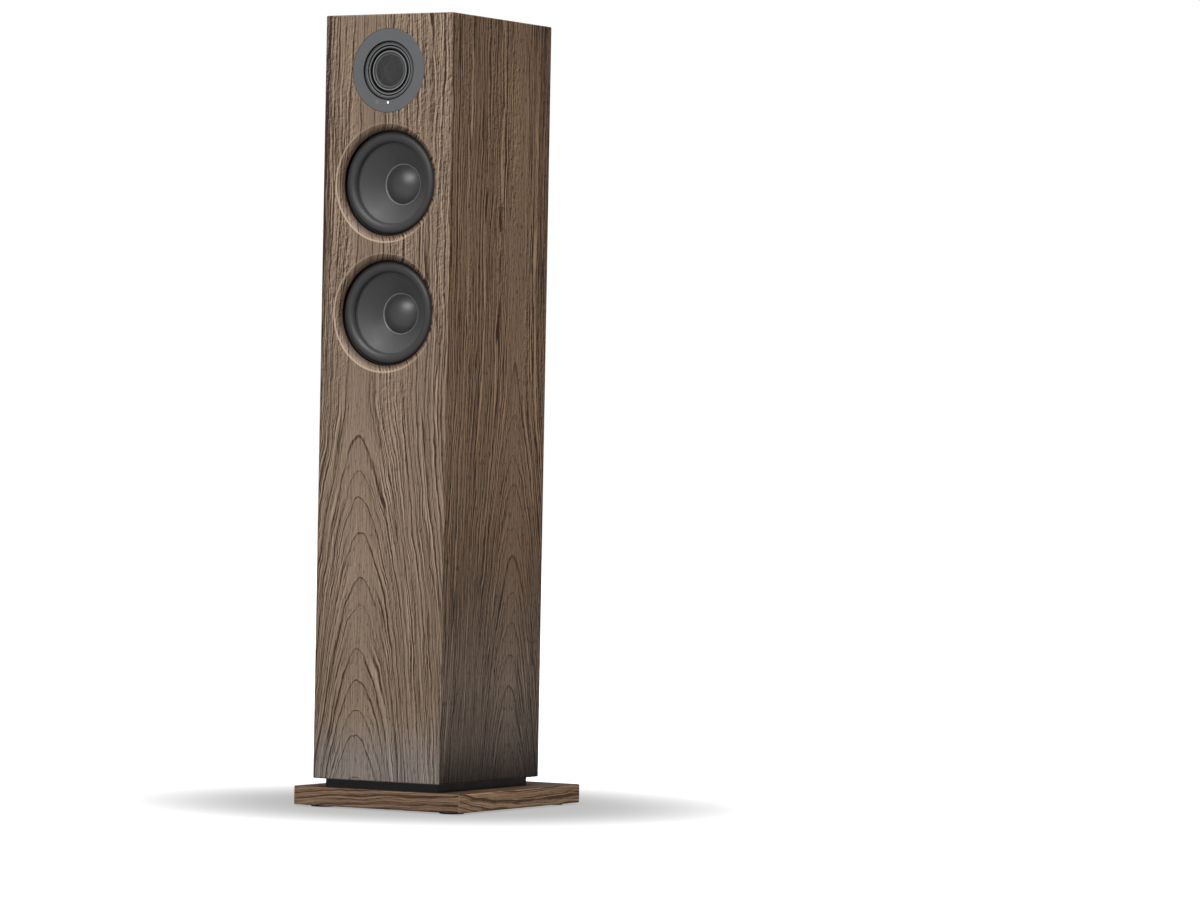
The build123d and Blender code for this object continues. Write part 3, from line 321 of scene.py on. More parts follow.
def veneer(name, across, along, face, arch_centre, arch_top, seed, tint=(1.0, 1.0, 1.0), level=0.47,
           grey_below=None, dark_edge=None, tip_gap=0.0365, ring_gap=0.0068, recesses=(), board=False,
           mottle=0.5, contrast=1.0, shade=None, width=1.0):
    """Open-pore veneer on one panel.

    across and along name the frame's axes across and along the grain. face is where the panel's broad side
    stands on the third one: the grain turns over the edges from there. Rings are nested arches below
    arch_top round arch_centre, tip_gap apart, and straight lines above it and further out, ring_gap apart.
    level is the mean tone. contrast, mottle and width scale the marks, the curls between them and how wide
    the marks are. The colour greys between the two heights of grey_below, a painted reflection of the pale
    floor, darkens between the two places of dark_edge, mostly above its third number, and follows the
    (height, level) stops of shade, painted shade by height that is deepest at a panel's foot. A board
    carries its grain round its edges, so that it runs along each of them."""
    g = Graph(name, roughness=0.55, specular=0.3)
    x, y, z = g.axes()
    axes = {"x": x, "y": y, "z": z}
    third = (set(axes) - {across, along}).pop()
    u = g.math("ADD", axes[across], g.math("SUBTRACT", axes[third], face))
    v = axes[along]
    if board:
        normal = g.node("SeparateXYZ", {0: g.nodes["Texture Coordinate"].outputs["Normal"]}).outputs
        end = g.step(g.math("ABSOLUTE", normal[0]), *BOARD_END_NORMAL)
        upper = g.step(normal[2], *BOARD_TOP_NORMAL)
        u = g.math("ADD", g.math("ADD", y, z), g.math("MULTIPLY", end, g.math("SUBTRACT", BOARD_END, y)))
        v = g.math("ADD", x, g.math("MULTIPLY", end, y))

    def field(kind, place, narrow=1.0, **settings):
        """One of the noises above, at a place across the grain."""
        across_waves, along_waves, offset, detail = kind
        point = g.vector(g.math("MULTIPLY", place, across_waves * narrow),
                         g.math("MULTIPLY", v, along_waves), seed + offset)
        return g.noise(point, detail=detail, **settings)

    def wander(kind, reach):
        return g.math("MULTIPLY_ADD", field(kind, u), reach, -reach / 2)

    # The grain wanders: slowly over the height of the panel, and a little over a few centimetres.
    wiggle = wander(WIGGLE, WIGGLE_REACH)
    shift = g.math("ADD", wander(BROAD_WANDER, BROAD_REACH), wander(CLOSE_WANDER, CLOSE_REACH))
    out = g.math("ADD", g.math("SUBTRACT", u, arch_centre), g.math("ADD", shift, wiggle))
    tip_height = g.math("ADD", v, wander(TIP_WANDER, TIP_REACH))

    # Rings: a rounded hyperbola across the grain, less a climb along it that starts under arch_top.
    spread = g.math("SQRT", g.math("MULTIPLY_ADD", out, out, ARCH_HALF_WIDTH ** 2))
    across_rings = g.math("MULTIPLY_ADD", spread, 1 / ring_gap, -ARCH_HALF_WIDTH / ring_gap)
    below = g.math("MULTIPLY_ADD", tip_height, -1 / tip_gap, arch_top / tip_gap)
    rounded = g.math("SQRT", g.math("MULTIPLY_ADD", below, below, ARCH_ROUNDING))
    climb = g.math("MULTIPLY", g.math("ADD", below, rounded), 0.5)
    flattening = g.step(g.math("ABSOLUTE", out), *ARCH_REACH, *ARCH_FLATTENING)
    rings = g.math("SUBTRACT", across_rings, g.math("MULTIPLY", climb, flattening))
    per_ring, per_metre = UNEVEN_WAVES
    uneven = g.noise(g.vector(rings, g.math("MULTIPLY", v, per_metre / per_ring), seed + 7.0),
                     scale=per_ring, detail=1.0)
    rings = g.math("MULTIPLY_ADD", uneven, UNEVEN_RINGS, rings)
    phase = g.math("FRACT", rings)

    # Distances, in metres, to the ring line ahead and from the one behind.
    slope = g.math("DIVIDE", out, g.math("MULTIPLY", spread, ring_gap))
    steepness = g.math("SQRT", g.math("MULTIPLY_ADD", slope, slope, tip_gap ** -2))
    ahead = g.math("DIVIDE", g.math("SUBTRACT", 1.0, phase), steepness)
    behind = g.math("DIVIDE", phase, steepness)

    # A ring ends in a thin dark line, with a painted highlight on the ridge after it. Lines fade in and out
    # along the grain.
    def edge_of_ring(distance, widths, start):
        outer, full = widths
        near = g.step(distance, outer * width, full * width)
        return g.math("MULTIPLY", near, g.step(distance, 0.0, start))

    per_ring, per_metre = PRESENCE_WAVES
    presence = g.noise(g.vector(g.math("MULTIPLY", rings, per_ring), g.math("MULTIPLY", v, per_metre),
                                seed + 11.0), detail=3.0)
    line = g.math("MULTIPLY", edge_of_ring(ahead, LINE_WIDTH, LINE_START),
                  g.step(presence, *LINE_PRESENCE))
    # Painted highlight on the ridge behind each ring line.
    ridge = g.math("MULTIPLY", edge_of_ring(behind, RIDGE_WIDTH, RIDGE_START),
                   g.step(presence, *RIDGE_PRESENCE))
    late_wood = g.step(phase, LATE_WOOD_START, 1.0)

    # Fibres, dashes and pores run along the grain, also across the arches, with a wiggle of their own.
    strayed = g.math("ADD", u, wiggle)

    def grain(kind, aside=0.0, narrow=1.0):
        return field(kind, g.math("ADD", strayed, aside), narrow, roughness=GRAIN_ROUGHNESS)

    band = grain(BAND)
    fibre = grain(FIBRE)
    dash = grain(DASH, narrow=1 / width)
    # Painted light and shade of raised dashes: a dash less a shifted copy of itself is pale on one side and
    # dark on the other.
    dash_light_and_shade = g.math("SUBTRACT", dash, grain(DASH, DASH_SHADING_SHIFT * width, 1 / width))
    pores = g.step(grain(PORE), *PORE_LEVELS)

    strand_depth = g.math("MULTIPLY_ADD", g.math("GREATER_THAN", out, 0.0), STRAND_SIDES, seed + STRAND_SEED)
    strand_fade = g.step(grain(FADE), *STRAND_FADE)
    strand_across, strand_along = STRAND_WAVES

    def strand(aside=0.0):
        """Lines where a stretched noise crosses its middle level."""
        course = g.math("MULTIPLY_ADD", rings, ring_gap * strand_across, aside * strand_across)
        point = g.vector(course, g.math("MULTIPLY", v, strand_along), strand_depth)
        crossing = g.gap(g.noise(point, detail=3.0, roughness=0.6), 0.5)
        return g.math("MULTIPLY", g.step(crossing, STRAND_WIDTH * width, 0.0), strand_fade)

    # A painted highlight beside each dark strand, as if light caught its edge.
    strand_highlights = g.math("MULTIPLY", strand(STRAND_HIGHLIGHT_SHIFT * width), STRAND_HIGHLIGHT_TONE)
    strands = g.math("MULTIPLY_ADD", strand(), DARK_STRAND_TONE, strand_highlights)
    strands = g.math("MULTIPLY", strands, g.step(g.math("ABSOLUTE", out), *CALM_MIDDLE))

    # Small curls, on the pale bands and mostly in the upper half of a cabinet panel, drawn as painted light
    # and shade: a curl less a shifted copy of itself.
    def curl(aside, further):
        across_waves, along_waves, offset, detail = CURL
        point = g.vector(g.math("MULTIPLY_ADD", u, across_waves, aside),
                         g.math("MULTIPLY_ADD", v, along_waves, further), seed + offset)
        return g.noise(point, detail=detail, distortion=0.8)

    curled = g.math("MULTIPLY", g.step(band, *CURL_BANDS), g.step(v, *CURL_HEIGHTS))
    curls = g.math("MULTIPLY", g.math("SUBTRACT", curl(0.0, 0.0), curl(*CURL_SHADING_SHIFT)), curled)

    tone = level - BAND_TONE / 2 - STREAK_TONE / 2 - FIBRE_TONE / 2
    for mark, share in ((band, BAND_TONE), (grain(STREAK), STREAK_TONE), (fibre, FIBRE_TONE),
                        (dash_light_and_shade, DASH_LIGHT_AND_SHADE_TONE * contrast), (strands, contrast), (curls, mottle),
                        (pores, PORE_TONE * contrast), (ridge, RIDGE_HIGHLIGHT_TONE), (late_wood, LATE_WOOD_TONE)):
        tone = g.math("MULTIPLY_ADD", mark, share, tone)
    tone = g.math("MULTIPLY_ADD", line, LINE_TONE, tone, clamp=True)
    if dark_edge is not None:
        inner, outer, full_above = dark_edge
        wave = g.noise(g.vector(0.0, g.math("MULTIPLY", v, EDGE_WAVES), seed + 19.0), detail=2.0)
        wavy = g.math("ADD", u, g.math("MULTIPLY_ADD", wave, EDGE_WAVE, -EDGE_WAVE / 2))
        share = g.step(v, full_above - EDGE_FADE, full_above + EDGE_FADE, EDGE_LOW_SHARE, 1.0)
        edge = g.math("MULTIPLY", g.step(wavy, inner, outer), share)
        tone = g.math("MULTIPLY_ADD", edge, DARK_EDGE_TONE, tone, clamp=True)

    colour = g.mix(tone, WOOD_DEEP, WOOD_PALE)
    # Painted reflection of the pale floor: the colour greys towards the panel's foot.
    if grey_below is not None:
        low, high = grey_below
        colour = g.mix(g.step(v, high, low), colour, g.mix(tone, FLOOR_REFLECTION_DEEP, FLOOR_REFLECTION_PALE))
    colour = g.tint(colour, tint)
    # Painted shade: the colour darkens by height, most towards the panel's foot.
    if shade is not None:
        colour = g.tint(colour, g.ramp(v, shade))
    # Painted light and shade: the board's front and ends are lightened, its top darkened.
    if board:
        edges = g.tint(colour, g.mix(end, BOARD_FRONT_PAINTED_LIGHT, BOARD_END_PAINTED_LIGHT))
        colour = g.mix(upper, edges, g.tint(colour, BOARD_TOP_PAINTED_SHADE))
    for centre in recesses:
        colour = recess_paint(g, colour, (x, y, z), centre)
    g.colour(colour)

    height = g.math("MULTIPLY_ADD", pores, PORE_HEIGHT, g.math("MULTIPLY", fibre, FIBRE_HEIGHT))
    height = g.math("MULTIPLY_ADD", dash, DASH_HEIGHT, height)
    height = g.math("MULTIPLY_ADD", line, LINE_HEIGHT, height)
    g.bump(height, RELIEF, RELIEF_STRENGTH)
    rough = g.math("MULTIPLY_ADD", fibre, FIBRE_ROUGHNESS, SMOOTH_ROUGHNESS)
    g.rough(g.math("MULTIPLY_ADD", pores, PORE_ROUGHNESS, rough))
    return g.material


def recess_paint(g, colour, axes, centre):
    """The front's colour in the recess round one driver: darker brown deeper in, black in its undercut, and
    a painted highlight on its lip.
    """
    x, y, z = axes
    radius = g.radius(x, z, centre)
    starts, full = RECESS_BROWN_DEPTH
    deep = g.step(y, FRONT_Y + starts, FRONT_Y + full, 0.0, RECESS_BROWN_SHARE)
    inside = g.math("MULTIPLY", g.step(radius, RECESS_RADIUS, RECESS_RADIUS - 0.5 * MM), deep)
    colour = g.mix(inside, colour, RECESS_BROWN, blend="MULTIPLY")
    # Painted highlight along the lip, strongest on the lower left side.
    lip = g.step(g.gap(radius, RECESS_RADIUS - LIP_INSET), *LIP_WIDTH)
    way_across, way_up = LIP_LIT_WAY
    way = g.math("MULTIPLY_ADD", x, way_across, g.math("MULTIPLY", z, way_up))
    along_way = g.math("SUBTRACT", way, centre.x * way_across + centre.z * way_up)
    lip_highlight_share = g.step(along_way, *LIP_REACH, *LIP_HIGHLIGHT_SHARES)
    colour = g.mix(g.math("MULTIPLY", lip, lip_highlight_share), colour, LIP_HIGHLIGHT_COLOUR)
    black = g.math("MULTIPLY", g.math("GREATER_THAN", y, FRONT_Y + RECESS_BLACK_DEPTH),
                   g.math("LESS_THAN", radius, RECESS_RADIUS))
    return g.mix(black, colour, RECESS_BLACK)


# ---------------------------------------------------------------- other materials
COAT_ROUGHNESS = 0.12
BRUSHED_ACROSS = 2600.0         # waves per metre across the lines of brushed metal
BRUSHED_ALONG = 60.0
LED_GLOW = (1.4 * MM, 0.4 * MM, 0.35, 1.0)  # two radii, and how bright the light is at each
LED_DIM = srgb(190, 186, 150)
LED_BRIGHT = srgb(255, 252, 226)


def grained(name, colour, roughness, grain=0.0, size=2000.0, metallic=0.0, specular=0.5, spread=0.12,
            coat=0.0):
    """A moulded, painted or cast surface: fine grain in its height, slight unevenness in its colour."""
    g = Graph(name, colour, roughness, metallic, specular)
    place = g.place()
    fine = g.noise(place, scale=size, detail=2.0)
    broad = g.noise(place, scale=size / 40, detail=3.0)
    g.colour(g.mottled(colour, spread, fine, broad))
    g.rough(g.step(broad, 0.3, 0.7, roughness * 0.88, min(1.0, roughness * 1.12)))
    if grain:
        g.bump(fine, grain)
    if coat:
        g.shader.inputs["Coat Weight"].default_value = coat
        g.shader.inputs["Coat Roughness"].default_value = COAT_ROUGHNESS
    return g.material


def brushed(name, colour, roughness, along="z"):
    """Metal with fine lines that run along one axis."""
    g = Graph(name, colour, roughness, metallic=1.0)
    stretched = [g.math("MULTIPLY", value, BRUSHED_ALONG if axis == along else BRUSHED_ACROSS)
                 for axis, value in zip("xyz", g.axes())]
    lines = g.noise(g.vector(*stretched), detail=2.0)
    low = tuple(channel * 0.8 for channel in colour)
    high = tuple(min(1.0, channel * 1.15) for channel in colour)
    g.colour(g.mix(lines, low, high))
    g.rough(g.step(lines, 0.3, 0.7, roughness * 0.8, roughness * 1.25))
    g.bump(lines, 0.02 * MM)
    return g.material


def woven(name, colour, dark, pitch):
    """A plain weave whose threads run along x and z."""
    g = Graph(name, colour, 0.85, specular=0.2)
    x, _, z = g.axes()
    warp = g.math("SINE", g.math("MULTIPLY", x, math.tau / pitch))
    weft = g.math("SINE", g.math("MULTIPLY", z, math.tau / pitch))
    weave = g.math("MULTIPLY_ADD", g.math("MULTIPLY", warp, weft), 0.5, 0.5)
    broad = g.noise(g.place(), scale=60.0, detail=3.0)
    g.colour(g.mix(g.step(broad, 0.3, 0.7, 0.0, 0.3), g.mix(weave, dark, colour), dark))
    g.bump(weave, 0.2 * MM)
    g.shader.inputs["Sheen Weight"].default_value = 0.3
    return g.material


# Radii on the tweeter's faceplate, with half widths for its rings and grooves, all in millimetres.
STEPPED_RADIUS = (33.1, 32.6)               # the stepped middle starts and is full
RIDGE_HIGHLIGHT_RINGS = ((28.7, 0.7), (26.2, 0.7), (24.5, 0.5), (21.5, 0.9))
GROOVE_SHADE_RINGS = ((27.6, 1.2), (23.8, 2.0))
OUTER_GROOVE = (31.1, 31.5, 32.7, 33.1)     # starts and is full, on either side
HOLLOW_RADIUS = (20.9, 20.4)
GROOVE_DEPTH = (2.9, 3.8)                   # painted shade on the groove walls starts and is full, behind the cabinet's front
STEPPED_GREY = srgb(84, 85, 86)
RIDGE_HIGHLIGHT_GREY = srgb(138, 139, 140)
HOLLOW_GREY = srgb(66, 66, 67)
GROOVE_SHADE_BLACK = srgb(9, 9, 10)


def faceplate(name, colour):
    """Satin grey plate whose stepped middle has painted highlights on its turned ridges and painted shade in
    its grooves.
    """
    g = Graph(name, colour, 0.5)
    x, y, z = g.axes()
    place = g.place()
    radius = g.math("MULTIPLY", g.radius(x, z, TWEETER), 1 / MM)
    depth = g.math("MULTIPLY", g.math("SUBTRACT", y, FRONT_Y), 1 / MM)
    fine = g.noise(place, scale=2500.0)
    broad = g.noise(place, scale=60.0, detail=3.0)

    def rings(kinds, joined):
        """The largest of a share and some thin rings, by radius."""
        for middle_radius, half in kinds:
            joined = g.math("MAXIMUM", joined, g.step(g.gap(radius, middle_radius), half, half * 0.35))
        return joined

    inside = g.step(radius, *STEPPED_RADIUS)
    surface = g.mix(inside, g.mottled(colour, 0.03, fine, broad), STEPPED_GREY)
    # Painted highlights on the ridges.
    surface = g.mix(rings(RIDGE_HIGHLIGHT_RINGS, 0.0), surface, RIDGE_HIGHLIGHT_GREY)
    surface = g.mix(g.step(radius, *HOLLOW_RADIUS), surface, HOLLOW_GREY)
    start, full, still_full, end = OUTER_GROOVE
    outer_groove = g.math("MULTIPLY", g.step(radius, start, full), g.step(radius, end, still_full))
    # Painted shade in the grooves: by radius, and on every wall deeper than the groove depth.
    groove = g.math("MAXIMUM", g.step(depth, *GROOVE_DEPTH), outer_groove)
    dark = g.math("MULTIPLY", rings(GROOVE_SHADE_RINGS, groove), inside)
    g.colour(g.mix(dark, surface, GROOVE_SHADE_BLACK))
    g.rough(g.step(broad, 0.3, 0.7, 0.44, 0.56))
    g.bump(fine, 0.01 * MM)
    return g.material


def glowing(name, colour, strength):
    """The lit end of a light pipe, brightest in its middle."""
    g = Graph(name, colour, 0.25)
    x, _, z = g.axes()
    glow = g.step(g.radius(x, z, middle("status_led")), *LED_GLOW)
    g.put(g.mix(glow, LED_DIM, LED_BRIGHT), g.shader.inputs["Emission Color"])
    g.shader.inputs["Emission Strength"].default_value = strength
    return g.material


def board_green(name):
    """Solder mask over copper tracks."""
    g = Graph(name, srgb(18, 74, 44), 0.4)
    x, _, z = g.axes()
    tracks = g.node("TexBrick", {"Vector": g.vector(x, z), "Scale": 160.0, "Mortar Size": 0.03,
                                 "Color1": (*srgb(16, 70, 42), 1), "Color2": (*srgb(20, 82, 50), 1),
                                 "Mortar": (*srgb(40, 110, 70), 1)})
    g.colour(tracks.outputs[0])
    return g.material


SIDE_CENTRE = FRONT_Y + 0.148   # the middle of the arches on the right side
MATERIALS = {
    "front_wood": veneer("front_wood", "x", "z", FRONT_Y, arch_centre=-0.0265, arch_top=0.44, seed=1.0,
                         tint=(1.04, 0.98, 0.92), level=0.51, contrast=2.1, mottle=1.3,
                         grey_below=(0.045, 0.12), dark_edge=(-0.070, -0.077, 0.6),
                         # painted shade by height
                         shade=[(0.07, 1.0), (0.13, 0.90), (0.20, 0.92), (0.28, 1.0)],
                         recesses=WOOFERS.values()),
    "right_wood": veneer("right_wood", "y", "z", CABINET_HIGH.x, arch_centre=SIDE_CENTRE, arch_top=0.46,
                         seed=21.0, tint=(0.97, 0.79, 0.635), level=0.54, contrast=4.2, mottle=1.4,
                         width=1.1, grey_below=(0.08, 0.32),
                         dark_edge=(FRONT_Y + 0.182, FRONT_Y + 0.192, 0.56),
                         # painted shade by height, deepest at the side's foot
                         shade=[(0.032, 0.14), (0.045, 0.26), (0.08, 0.64), (0.14, 0.86), (0.20, 0.76),
                                (0.27, 0.82), (0.42, 0.97), (0.78, 1.02), (0.87, 0.84)]),
    "left_wood": veneer("left_wood", "y", "z", CABINET_LOW.x, arch_centre=SIDE_CENTRE - 0.03, arch_top=0.5,
                        seed=41.0, tint=(0.97, 0.82, 0.69), contrast=1.4, grey_below=(0.03, 0.3)),
    "rear_wood": veneer("rear_wood", "x", "z", CABINET_HIGH.y, arch_centre=0.02, arch_top=0.62, seed=61.0,
                        tint=(0.98, 0.88, 0.78)),
    "top_wood": veneer("top_wood", "x", "y", CABINET_HIGH.z, arch_centre=-0.12, arch_top=-0.4, seed=81.0,
                       tint=(1.0, 0.9, 0.8)),
    "bottom_wood": veneer("bottom_wood", "x", "y", CABINET_LOW.z, arch_centre=0.12, arch_top=-0.4, seed=91.0,
                          tint=(0.98, 0.88, 0.78)),
    "base_wood": veneer("base_wood", "y", "x", 0.0, arch_centre=0.03, arch_top=0.03, seed=101.0, level=0.34,
                        tint=(1.04, 0.9, 0.76), tip_gap=0.03, ring_gap=0.007, board=True, mottle=0.3),
    "bare_board": grained("bare_board", srgb(168, 138, 104), 0.9, grain=0.00015, size=900.0),
    "black_lacquer": grained("black_lacquer", srgb(54, 56, 58), 0.5, grain=0.00002, size=1500.0),
    "foot_rubber": grained("foot_rubber", srgb(30, 30, 30), 0.85, grain=0.00008, size=1600.0),
    "face_grey": faceplate("face_grey", srgb(103, 105, 107)),
    "mesh_grey": grained("mesh_grey", srgb(106, 106, 107), 0.5, grain=0.00001, metallic=0.3, spread=0.04),
    "surround_rubber": grained("surround_rubber", srgb(67, 66, 66), 0.46, grain=0.00002, spread=0.05),
    "cone_paper": grained("cone_paper", srgb(84, 84, 84), 0.55, grain=0.00004, size=1400.0, spread=0.05),
    # The glue bead's pale grey is partly painted highlight: a thin bright ring round each dust cap.
    "bead_grey_highlight": grained("bead_grey_highlight", srgb(150, 150, 148), 0.3, grain=0.00002, size=900.0, spread=0.1),
    "cap_grey": grained("cap_grey", srgb(70, 70, 70), 0.42, grain=0.00002, size=1400.0, specular=1.0,
                        spread=0.05),
    "basket_black": grained("basket_black", srgb(24, 24, 25), 0.55, grain=0.00006, size=1500.0),
    "spider_cloth": woven("spider_cloth", srgb(176, 140, 84), srgb(110, 82, 44), 0.0012),
    "dome_silk": woven("dome_silk", srgb(40, 40, 42), srgb(20, 20, 21), 0.0007),
    "coil_copper": brushed("coil_copper", srgb(190, 110, 66), 0.35, along="x"),
    "ferrite": grained("ferrite", srgb(52, 53, 56), 0.7, grain=0.00008, size=1200.0),
    "zinc_steel": brushed("zinc_steel", srgb(176, 178, 172), 0.38),
    "black_steel": grained("black_steel", srgb(34, 34, 35), 0.4, grain=0.00002, metallic=0.8),
    "chassis_plastic": grained("chassis_plastic", srgb(30, 30, 31), 0.55, grain=0.00004),
    "window_smoke": grained("window_smoke", srgb(121, 121, 121), 0.35, spread=0.03),
    "circuit_board": board_green("circuit_board"),
    "port_black": grained("port_black", srgb(30, 30, 31), 0.62, grain=0.0001, size=1300.0),
    "plate_black": grained("plate_black", srgb(36, 36, 38), 0.45, grain=0.00003, size=2600.0, metallic=0.6),
    "moulded_black": grained("moulded_black", srgb(26, 26, 27), 0.5, grain=0.00006, size=1500.0),
    "gloss_black": grained("gloss_black", srgb(22, 22, 23), 0.22, coat=0.5),
    "gold_plate": brushed("gold_plate", srgb(212, 172, 92), 0.25),
    "nickel": brushed("nickel", srgb(190, 190, 188), 0.28),
    "cap_red": grained("cap_red", srgb(176, 26, 22), 0.35, grain=0.00002, coat=0.3),
    "cap_black": grained("cap_black", srgb(24, 24, 24), 0.35, grain=0.00002, coat=0.3),
    "cable_black": grained("cable_black", srgb(30, 30, 31), 0.6, grain=0.00005),
    "led_glow": glowing("led_glow", srgb(240, 236, 210), 1.1),
}

NODE_MATERIALS = {
    "front_wood": ["front_baffle"],
    "right_wood": ["right_side_panel"],
    "left_wood": ["left_side_panel"],
    "rear_wood": ["rear_panel"],
    "top_wood": ["top_panel"],
    "bottom_wood": ["bottom_panel"],
    "base_wood": ["base_plate"],
    "bare_board": ["upper_brace", "lower_brace"],
    "black_lacquer": ["spacer_block"],
    "foot_rubber": ["rubber_feet", "woofer_gaskets"],
    "face_grey": ["tweeter_faceplate"],
    "mesh_grey": ["tweeter_mesh"],
    "surround_rubber": ["woofer_surround_upper", "woofer_surround_lower"],
    "cone_paper": ["woofer_cone_upper", "woofer_cone_lower"],
    "cap_grey": ["woofer_dust_cap_upper", "woofer_dust_cap_lower"],
    "basket_black": ["woofer_basket_upper", "woofer_basket_lower"],
    "spider_cloth": ["woofer_spider_upper", "woofer_spider_lower"],
    "dome_silk": ["tweeter_dome", "tweeter_surround"],
    "coil_copper": ["woofer_voice_coil_upper", "woofer_voice_coil_lower", "tweeter_voice_coil"],
    "ferrite": ["woofer_magnet_upper", "woofer_magnet_lower", "tweeter_magnet"],
    "zinc_steel": ["base_bolts", "woofer_top_plates", "woofer_yoke_upper", "woofer_yoke_lower",
                   "tweeter_top_plate", "tweeter_yoke"],
    "black_steel": ["driver_screws", "rear_screws"],
    "chassis_plastic": ["tweeter_chassis"],
    "window_smoke": ["infrared_window"],
    "circuit_board": ["indicator_board", "amplifier_board", "power_supply_board"],
    "port_black": ["port_tube"],
    "plate_black": ["amplifier_plate"],
    "moulded_black": ["electronics_housing", "power_inlet", "power_switch_body"],
    "gloss_black": ["power_rocker", "pairing_button"],
    "gold_plate": ["line_jacks", "binding_post_studs", "woofer_terminals"],
    "nickel": ["digital_port"],
    "cap_red": ["binding_cap_red"],
    "cap_black": ["binding_cap_black"],
    "cable_black": ["internal_wiring"],
    "led_glow": ["status_led"],
}


def dress(thing, material):
    """Gives an object one material in place of whatever it had."""
    thing.data.materials.clear()
    thing.data.materials.append(MATERIALS[material])


for material_name, node_names in NODE_MATERIALS.items():
    for node_name in node_names:
        dress(NODES[node_name], material_name)

# ---------------------------------------------------------------- turned pieces
# Outlines are (radius, depth) points in millimetres, depth being behind the front face of the cabinet.


def arc(centre, radius, start, end, steps):
    """Points on an arc in an outline, by angle in degrees: 0 is outwards, 90 is towards the front."""
    points = []
    for step in range(steps + 1):
        angle = math.radians(start + (end - start) * step / steps)
        points.append((centre[0] + radius * math.cos(angle), centre[1] - radius * math.sin(angle)))
    return points


ON_AXIS = 1e-6


def lathe(name, outline, centre, material, nodes, segments=128):
    """A closed outline turned about an axis through centre that runs front to back.

    The piece replaces the CAD nodes, if any, and takes one material."""
    mesh = bmesh.new()
    rings = []
    for radius, depth in outline:
        level = FRONT_Y + depth * MM
        if radius <= ON_AXIS:
            rings.append([mesh.verts.new((centre.x, level, centre.z))])
            continue
        ring = []
        for step in range(segments):
            angle = math.tau * step / segments
            across = radius * MM * math.cos(angle)
            up = radius * MM * math.sin(angle)
            ring.append(mesh.verts.new((centre.x + across, level, centre.z + up)))
        rings.append(ring)
    for index, ring in enumerate(rings):
        following = rings[(index + 1) % len(rings)]
        if len(ring) == 1 and len(following) == 1:
            continue
        for step in range(segments):
            after = (step + 1) % segments
            corners = [ring[0]] if len(ring) == 1 else [ring[step], ring[after]]
            corners += [following[0]] if len(following) == 1 else [following[after], following[step]]
            mesh.faces.new(corners)
    bmesh.ops.recalc_face_normals(mesh, faces=mesh.faces)
    data = bpy.data.meshes.new(name)
    mesh.to_mesh(data)
    mesh.free()
    piece = bpy.data.objects.new(name, data)
    bpy.context.scene.collection.objects.link(piece)
    data.materials.append(MATERIALS[material])
    smooth(piece)
    if nodes:
        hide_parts(*nodes)
    return piece


def smooth(piece, limit=40.0):
    """Smooth shading with sharp edges where faces meet at more than a limit in degrees."""
    piece.data.polygons.foreach_set("use_smooth", [True] * len(piece.data.polygons))
    piece.data.set_sharp_from_angle(angle=math.radians(limit))


def flexes(piece, body, centre, fixed_radius, moving_radius):
    """Bakes a round suspension's placement into its points, and works out each point's share between the
    fixed and the moving radius; the share is not used.
    """
    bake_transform(piece)
    for vertex in piece.data.vertices:
        radius = math.hypot(vertex.co.x - centre.x, vertex.co.z - centre.z) / MM
        share = (fixed_radius - radius) / (fixed_radius - moving_radius)
        share = min(1.0, max(0.0, share))


# ---------------------------------------------------------------- woofers
LIP_RADIUS = 58.6
LIP_NEAR = 11.5
LIP_FAR = 12.4
LIP_EASE = 0.25
LIP_BEAD = 57.75                # middle of the lip's raised bead
LIP_BEAD_SIZE = 0.45
ROLL_MIDDLE = 51.2
ROLL_RADIUS = 5.8
ROLL_FOOT = 0.5                 # radius where the roll turns into the landing
SKIN = 0.8
SURROUND_FLEX = (56.8, 45.6)    # still outside the first radius, with the cone inside the second
CONE_EDGE = 44.6
CONE_EDGE_DEPTH = 15.2
CONE_LANDING = 1.5              # how far the cone reaches under the surround
CONE_CLEARANCE = 0.02           # between the cone and the surround
CONE_STEPS = 60
CONE_NECK = 13.05
CONE_NECK_DEPTH = 44.0
CONE_NECK_END = 48.0
CAP_RADIUS = 22.0
CAP_RISE = 9.2
CAP_CLEARANCE = 0.2             # how far its edge stands clear of the cone
CAP_SKIN = 0.6
CAP_EDGE = 0.4                  # how much narrower its hollow is
CAP_STEPS = 32
BEAD_RADIUS = 22.45
BEAD_SIZE = 0.6
BEAD_FLATNESS = 0.62
BEAD_SLOPE = 0.93               # about the cone's
BEAD_STEPS = 14
SPIDER_INNER = 13.0
SPIDER_OUTER = 30.0
SPIDER_DEPTH = 52.4
SPIDER_RIM = [(32.0, 52.45), (34.0, 52.5)]
SPIDER_WAVES = 5
SPIDER_WAVE = 1.0               # height of a corrugation above and below the middle
SPIDER_SKIN = 0.45
SPIDER_STEPS = 80
SPIDER_FLEX = (30.5, 13.6)


def cone_depth(radius):
    """Depth of the front of the cone at a radius."""
    slope = (CONE_NECK_DEPTH - CONE_EDGE_DEPTH) / (CONE_EDGE - CONE_NECK)
    return CONE_EDGE_DEPTH + (CONE_EDGE - radius) * slope


